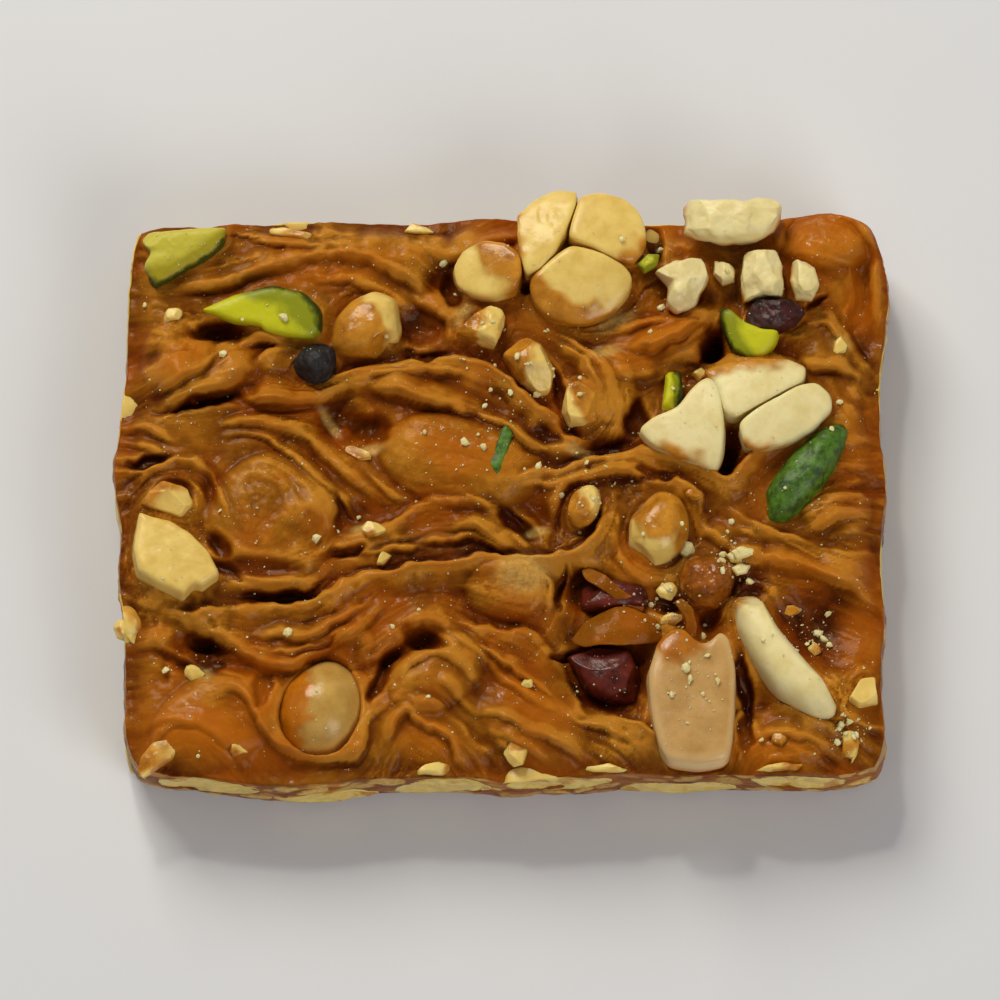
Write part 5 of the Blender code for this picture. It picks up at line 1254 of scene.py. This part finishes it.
def pulled_sugar_material():
    """Boiled sugar pulled and folded until it is nearly opaque: satin amber brown,
    drawn in fine strands, lighter on thin ridges with a painted highlight there, dark and
    clear where it is thin, and darkened with painted shade in hollows, pits and deep holes."""
    material, tree, shader = new_material("pulled_sugar", IOR=1.5, Coat_Weight=0.09, Coat_Roughness=0.08)
    shader.inputs["Specular IOR Level"].default_value = 0.2
    shader.inputs["Specular Tint"].default_value = linear("#FFB86A")
    shader.inputs["Subsurface Weight"].default_value = 0.3
    shader.inputs["Subsurface Radius"].default_value = (1.0, 0.36, 0.08)
    shader.inputs["Subsurface Scale"].default_value = 1.1 * MM
    marks = {name: add_node(tree, "ShaderNodeAttribute", {"attribute_name": name}).outputs["Fac"]
             for name in ("hollow", "crest", "strands", "clear", "glitter", "side", "bit", "amber")}
    flow = add_node(tree, "ShaderNodeAttribute", {"attribute_name": "flow"}).outputs["Vector"]
    place = add_node(tree, "ShaderNodeTexCoord").outputs["Object"]
    stretched = add_node(tree, "ShaderNodeMapping", {"Scale": (2.4, 0.25, 1.0)}, {"Vector": flow}).outputs[0]
    hairs = add_node(tree, "ShaderNodeTexNoise", {"Scale": 1.0, "Detail": 4.0, "Roughness": 0.62},
                     {"Vector": stretched}).outputs["Fac"]
    patches = add_node(tree, "ShaderNodeTexNoise", {"Scale": 1 / (5.0 * MM), "Detail": 4.0},
                       {"Vector": place}).outputs["Fac"]
    grain = add_node(tree, "ShaderNodeTexNoise", {"Scale": 1 / (0.4 * MM), "Detail": 3.0, "Roughness": 0.6},
                     {"Vector": place}).outputs["Fac"]
    # Darkness of the colour: the hollow and clear marks darken it, partly with painted shade in hollows, pits and deep
    # holes; the crest mark lightens it, partly with a painted highlight on ridges; the noises give the sugar's own
    # uneven tone
    parts = ((marks["hollow"], 0.17), (marks["crest"], -0.12), (marks["strands"], -0.06), (marks["clear"], 0.3),
             (hairs, 0.12), (patches, 0.36), (grain, 0.14))
    depth = None
    for source, weight in parts:
        settings = {"operation": "MULTIPLY_ADD", 1: weight, 2: 0.16}
        links = {0: source, 2: depth} if depth else {0: source}
        depth = add_node(tree, "ShaderNodeMath", settings, links).outputs[0]
    tone = add_node(tree, "ShaderNodeValToRGB", None, {"Fac": depth},
                    [(0.24, "#BC7E26"), (0.36, "#9C6214"), (0.49, "#844D0B"), (0.62, "#703A06"),
                     (0.78, "#561F03"), (1.0, "#360F02")]).outputs["Color"]
    warmth = add_node(tree, "ShaderNodeTexNoise", {"Scale": 1 / (6.5 * MM), "Detail": 5.0, "Roughness": 0.6},
                      {"Vector": place}).outputs["Fac"]
    warm = add_node(tree, "ShaderNodeMapRange", {"From Min": 0.44, "From Max": 0.64, "To Max": 0.6},
                    {"Value": warmth}).outputs[0]
    tone = add_node(tree, "ShaderNodeMix", {"data_type": "RGBA", 7: linear("#A44E06")}, {0: warm, 6: tone}).outputs[2]
    glow = add_node(tree, "ShaderNodeMath", {"operation": "MULTIPLY", 1: 0.55}, {0: marks["amber"]}).outputs[0]
    tone = add_node(tree, "ShaderNodeMix", {"data_type": "RGBA", 7: linear("#B8640E")}, {0: glow, 6: tone}).outputs[2]
    half = add_node(tree, "ShaderNodeMath", {"operation": "MULTIPLY", 1: 0.35}, {0: marks["side"]}).outputs[0]
    colour = add_node(tree, "ShaderNodeMix", {"data_type": "RGBA", 7: linear("#8A4E14")},
                      {0: half, 6: tone}).outputs[2]
    flesh = add_node(tree, "ShaderNodeValToRGB", None, {"Fac": grain}, [(0.3, "#B98C3C"), (0.65, "#E0C070")])
    colour = add_node(tree, "ShaderNodeMix", {"data_type": "RGBA"},
                      {0: marks["bit"], 6: colour, 7: flesh.outputs["Color"]}).outputs[2]
    tree.links.new(colour, shader.inputs["Base Color"])
    gloss = add_node(tree, "ShaderNodeMath", {"operation": "MULTIPLY_ADD", 1: -0.1}, {0: marks["clear"], 2: grain}).outputs[0]
    rough = add_node(tree, "ShaderNodeMapRange", {"To Min": 0.26, "To Max": 0.62}, {"Value": gloss}).outputs[0]
    tree.links.new(rough, shader.inputs["Roughness"])
    relief = add_node(tree, "ShaderNodeBump", {"Strength": 0.4, "Distance": 0.14 * MM}, {"Height": hairs}).outputs[0]
    crystals = add_node(tree, "ShaderNodeMath", {"operation": "MULTIPLY_ADD", 1: 0.6, 2: 0.35}, {0: marks["glitter"]}).outputs[0]
    fine = add_node(tree, "ShaderNodeBump", {"Distance": 0.14 * MM},
                    {"Strength": crystals, "Height": grain, "Normal": relief}).outputs[0]
    tree.links.new(fine, shader.inputs["Normal"])
    return material


def nut_material(name, light, dark, film_light, film_dark, roughness, mottle=1.8, subsurface=0.45,
                 radius=(1.0, 0.6, 0.25), rim_code=None):
    """Nut flesh: a pale oily solid with broad mottling and a fine waxy grain, under
    a thin amber sugar film where the film mark says so."""
    material, tree, shader = new_material(name, IOR=1.46)
    shader.inputs["Specular IOR Level"].default_value = 0.42
    shader.inputs["Subsurface Weight"].default_value = subsurface
    shader.inputs["Subsurface Radius"].default_value = radius
    shader.inputs["Subsurface Scale"].default_value = 1.0 * MM
    place = add_node(tree, "ShaderNodeTexCoord").outputs["Object"]
    film = add_node(tree, "ShaderNodeAttribute", {"attribute_name": "film"}).outputs["Fac"]
    broad = add_node(tree, "ShaderNodeTexNoise", {"Scale": 1 / (mottle * MM), "Detail": 4.0, "Roughness": 0.6},
                     {"Vector": place}).outputs["Fac"]
    grain = add_node(tree, "ShaderNodeTexNoise", {"Scale": 1 / (0.22 * MM), "Detail": 2.0},
                     {"Vector": place}).outputs["Fac"]
    flesh = add_node(tree, "ShaderNodeValToRGB", None, {"Fac": broad},
                     [(0.2, dark), (0.62, light)]).outputs["Color"]
    if rim_code:
        rim = add_node(tree, "ShaderNodeAttribute", {"attribute_name": "rim"}).outputs["Fac"]
        edge = add_node(tree, "ShaderNodeMapRange", {"From Min": 0.82, "From Max": 1.0}, {"Value": rim}).outputs[0]
        flesh = add_node(tree, "ShaderNodeMix", {"data_type": "RGBA", 7: linear(rim_code)},
                         {0: edge, 6: flesh}).outputs[2]
    sugar = add_node(tree, "ShaderNodeValToRGB", None, {"Fac": broad},
                     [(0.3, film_dark), (0.65, film_light)]).outputs["Color"]
    colour = add_node(tree, "ShaderNodeMix", {"data_type": "RGBA"}, {0: film, 6: flesh, 7: sugar}).outputs[2]
    tree.links.new(colour, shader.inputs["Base Color"])
    rough = add_node(tree, "ShaderNodeMapRange", {"To Min": roughness, "To Max": 0.22}, {"Value": film}).outputs[0]
    tree.links.new(rough, shader.inputs["Roughness"])
    relief = add_node(tree, "ShaderNodeBump", {"Strength": 0.14, "Distance": 0.12 * MM}, {"Height": broad}).outputs[0]
    fine = add_node(tree, "ShaderNodeBump", {"Strength": 0.25, "Distance": 0.05 * MM},
                    {"Height": grain, "Normal": relief}).outputs[0]
    tree.links.new(fine, shader.inputs["Normal"])
    return material


def pistachio_material(name, heart, face, rind):
    """Cut pistachio: waxy green flesh, yellower at its heart, with a thin dark rind
    round the cut and down the sides."""
    material, tree, shader = new_material(name, IOR=1.46)
    shader.inputs["Subsurface Weight"].default_value = 0.25
    shader.inputs["Subsurface Radius"].default_value = (0.8, 0.8, 0.15)
    shader.inputs["Specular IOR Level"].default_value = 0.3
    shader.inputs["Subsurface Scale"].default_value = 1.0 * MM
    place = add_node(tree, "ShaderNodeTexCoord").outputs["Object"]
    rim = add_node(tree, "ShaderNodeAttribute", {"attribute_name": "rim"}).outputs["Fac"]
    streaks = add_node(tree, "ShaderNodeTexNoise", {"Scale": 1 / (0.9 * MM), "Detail": 4.0, "Roughness": 0.65},
                       {"Vector": place}).outputs["Fac"]
    shifted = add_node(tree, "ShaderNodeMath", {"operation": "MULTIPLY_ADD", 1: 0.3}, {0: streaks, 2: rim}).outputs[0]
    tone = add_node(tree, "ShaderNodeValToRGB", None, {"Fac": shifted},
                    [(0.2, heart), (0.55, face), (0.8, face), (0.92, rind)]).outputs["Color"]
    tree.links.new(tone, shader.inputs["Base Color"])
    rough = add_node(tree, "ShaderNodeMapRange", {"To Min": 0.32, "To Max": 0.5}, {"Value": streaks}).outputs[0]
    tree.links.new(rough, shader.inputs["Roughness"])
    relief = add_node(tree, "ShaderNodeBump", {"Strength": 0.4, "Distance": 0.1 * MM}, {"Height": streaks}).outputs[0]
    tree.links.new(relief, shader.inputs["Normal"])
    return material


def skin_material(name, light, dark, roughness, wrinkle):
    """Papery nut or seed skin: dark, finely wrinkled, mottled and a little waxy."""
    material, tree, shader = new_material(name, IOR=1.45)
    place = add_node(tree, "ShaderNodeTexCoord").outputs["Object"]
    wrinkles = add_node(tree, "ShaderNodeTexNoise", {"Scale": 1 / (wrinkle * MM), "Detail": 5.0, "Roughness": 0.65},
                        {"Vector": place}).outputs["Fac"]
    tone = add_node(tree, "ShaderNodeValToRGB", None, {"Fac": wrinkles},
                    [(0.35, dark), (0.65, light)]).outputs["Color"]
    tree.links.new(tone, shader.inputs["Base Color"])
    rough = add_node(tree, "ShaderNodeMapRange", {"To Min": roughness, "To Max": roughness + 0.2},
                     {"Value": wrinkles}).outputs[0]
    tree.links.new(rough, shader.inputs["Roughness"])
    relief = add_node(tree, "ShaderNodeBump", {"Strength": 0.6, "Distance": 0.15 * MM}, {"Height": wrinkles}).outputs[0]
    tree.links.new(relief, shader.inputs["Normal"])
    return material


def make_materials():
    """A material for each slot of the record."""
    film_light, film_dark = "#D0902A", "#9E5E0C"
    return {
        "caramel": pulled_sugar_material(),
        "peanut": nut_material("peanut_flesh", "#ECCE76", "#D6B052", film_light, film_dark, 0.3),
        "peanut_white": nut_material("broken_peanut", "#EEE0A8", "#DECA84", film_light, film_dark, 0.42),
        "peanut_tan": nut_material("roasted_peanut", "#C89E60", "#AC8040", "#C47A1C", "#96540A", 0.3, 2.0,
                                   rim_code="#D8B67E"),
        "dark_bit": skin_material("dark_skin", "#4A1A18", "#1E0808", 0.3, 0.9),
        "whole_peanut": nut_material("golden_peanut", "#CCA456", "#A87C30", "#CC7A14", "#A05A08", 0.28, 2.4),
        "coated": nut_material("sugar_coated_nut", "#A65E14", "#6A340A", "#A65E14", "#6A340A", 0.3, 0.8),
        "pistachio": pistachio_material("pistachio_cut", "#C6C41C", "#8C9010", "#2E3E0E"),
        "pistachio_pale": pistachio_material("pistachio_pale_cut", "#C6BA40", "#A2941C", "#36440E"),
        "pistachio_dark": skin_material("pistachio_skin", "#56801A", "#26400C", 0.35, 0.8),
        "seed": skin_material("black_seed", "#2A272A", "#0D0B0C", 0.5, 0.5),
        "red_skin": skin_material("red_nut_skin", "#6C2416", "#380E08", 0.2, 1.4),
    }


# The stage

CAMERA_ELEVATION = 76
CAMERA_DISTANCE = 1.53
FRAME_SHARE = 0.78


def make_stage():
    """A pale floor under the underside."""
    half, level = 1.5, -0.02 * MM
    mesh = bpy.data.meshes.new("floor")
    mesh.from_pydata([(-half, -half, level), (half, -half, level), (half, half, level), (-half, half, level)],
                     [], [(0, 1, 2, 3)])
    floor = bpy.data.objects.new("floor", mesh)
    bpy.context.scene.collection.objects.link(floor)
    material, tree, shader = new_material("pale_floor", Roughness=0.6)
    shader.inputs["Base Color"].default_value = linear("#DCDDE2")
    mesh.materials.append(material)


def add_light(name, place, size, power, code):
    """A soft square light that faces the piece."""
    light = bpy.data.lights.new(name, "AREA")
    light.size = size
    light.energy = power
    light.color = linear(code)[:3]
    lamp = bpy.data.objects.new(name, light)
    lamp.location = place
    lamp.rotation_euler = (-Vector(place)).to_track_quat("-Z", "Y").to_euler()
    bpy.context.scene.collection.objects.link(lamp)


def make_lights():
    """A window-like light behind and above, a weak fill and a pale surround."""
    add_light("window", (-0.26, 0.5, 0.5), 0.36, 3.85, "#FFFAEC")
    add_light("glint", (-0.12, 0.4, 0.62), 0.05, 0.7, "#FFFAEC")
    add_light("fill", (0.5, -0.55, 0.55), 0.5, 3.4, "#FFFBF4")
    world = bpy.data.worlds.new("surround")
    world.use_nodes = True
    world.node_tree.nodes["Background"].inputs["Color"].default_value = linear("#F4F4F6")
    world.node_tree.nodes["Background"].inputs["Strength"].default_value = 0.2
    bpy.context.scene.world = world


def make_camera():
    """A long lens from the front and high above, framed on the piece."""
    low, high = (Vector(corner) for corner in cad_box)
    target = (low + high) / 2
    tilt = math.radians(CAMERA_ELEVATION)
    data = bpy.data.cameras.new("camera")
    data.lens = data.sensor_width * CAMERA_DISTANCE * FRAME_SHARE / (high.x - low.x)
    data.clip_end = 10
    camera = bpy.data.objects.new("camera", data)
    way = Vector((0, -math.cos(tilt), math.sin(tilt)))
    camera.location = target + CAMERA_DISTANCE * way
    camera.rotation_euler = (-way).to_track_quat("-Z", "Y").to_euler()
    bpy.context.scene.collection.objects.link(camera)
    bpy.context.scene.camera = camera


def main():
    bpy.context.scene.view_settings.view_transform = "Standard"
    materials = make_materials()
    slots = {row["node"]: row["material_slot"] for row in frame["record"]["subparts"]}
    slab = make_slab(materials["caramel"])
    nuts = make_top_nuts(materials, slots)
    make_side_nuts(materials)
    bits = make_fragments(materials, slab)
    loose = make_loose_bits(materials, slab)
    make_crumbs(materials, [slab, bits] + nuts + loose)
    make_stage()
    make_lights()
    make_camera()


main()
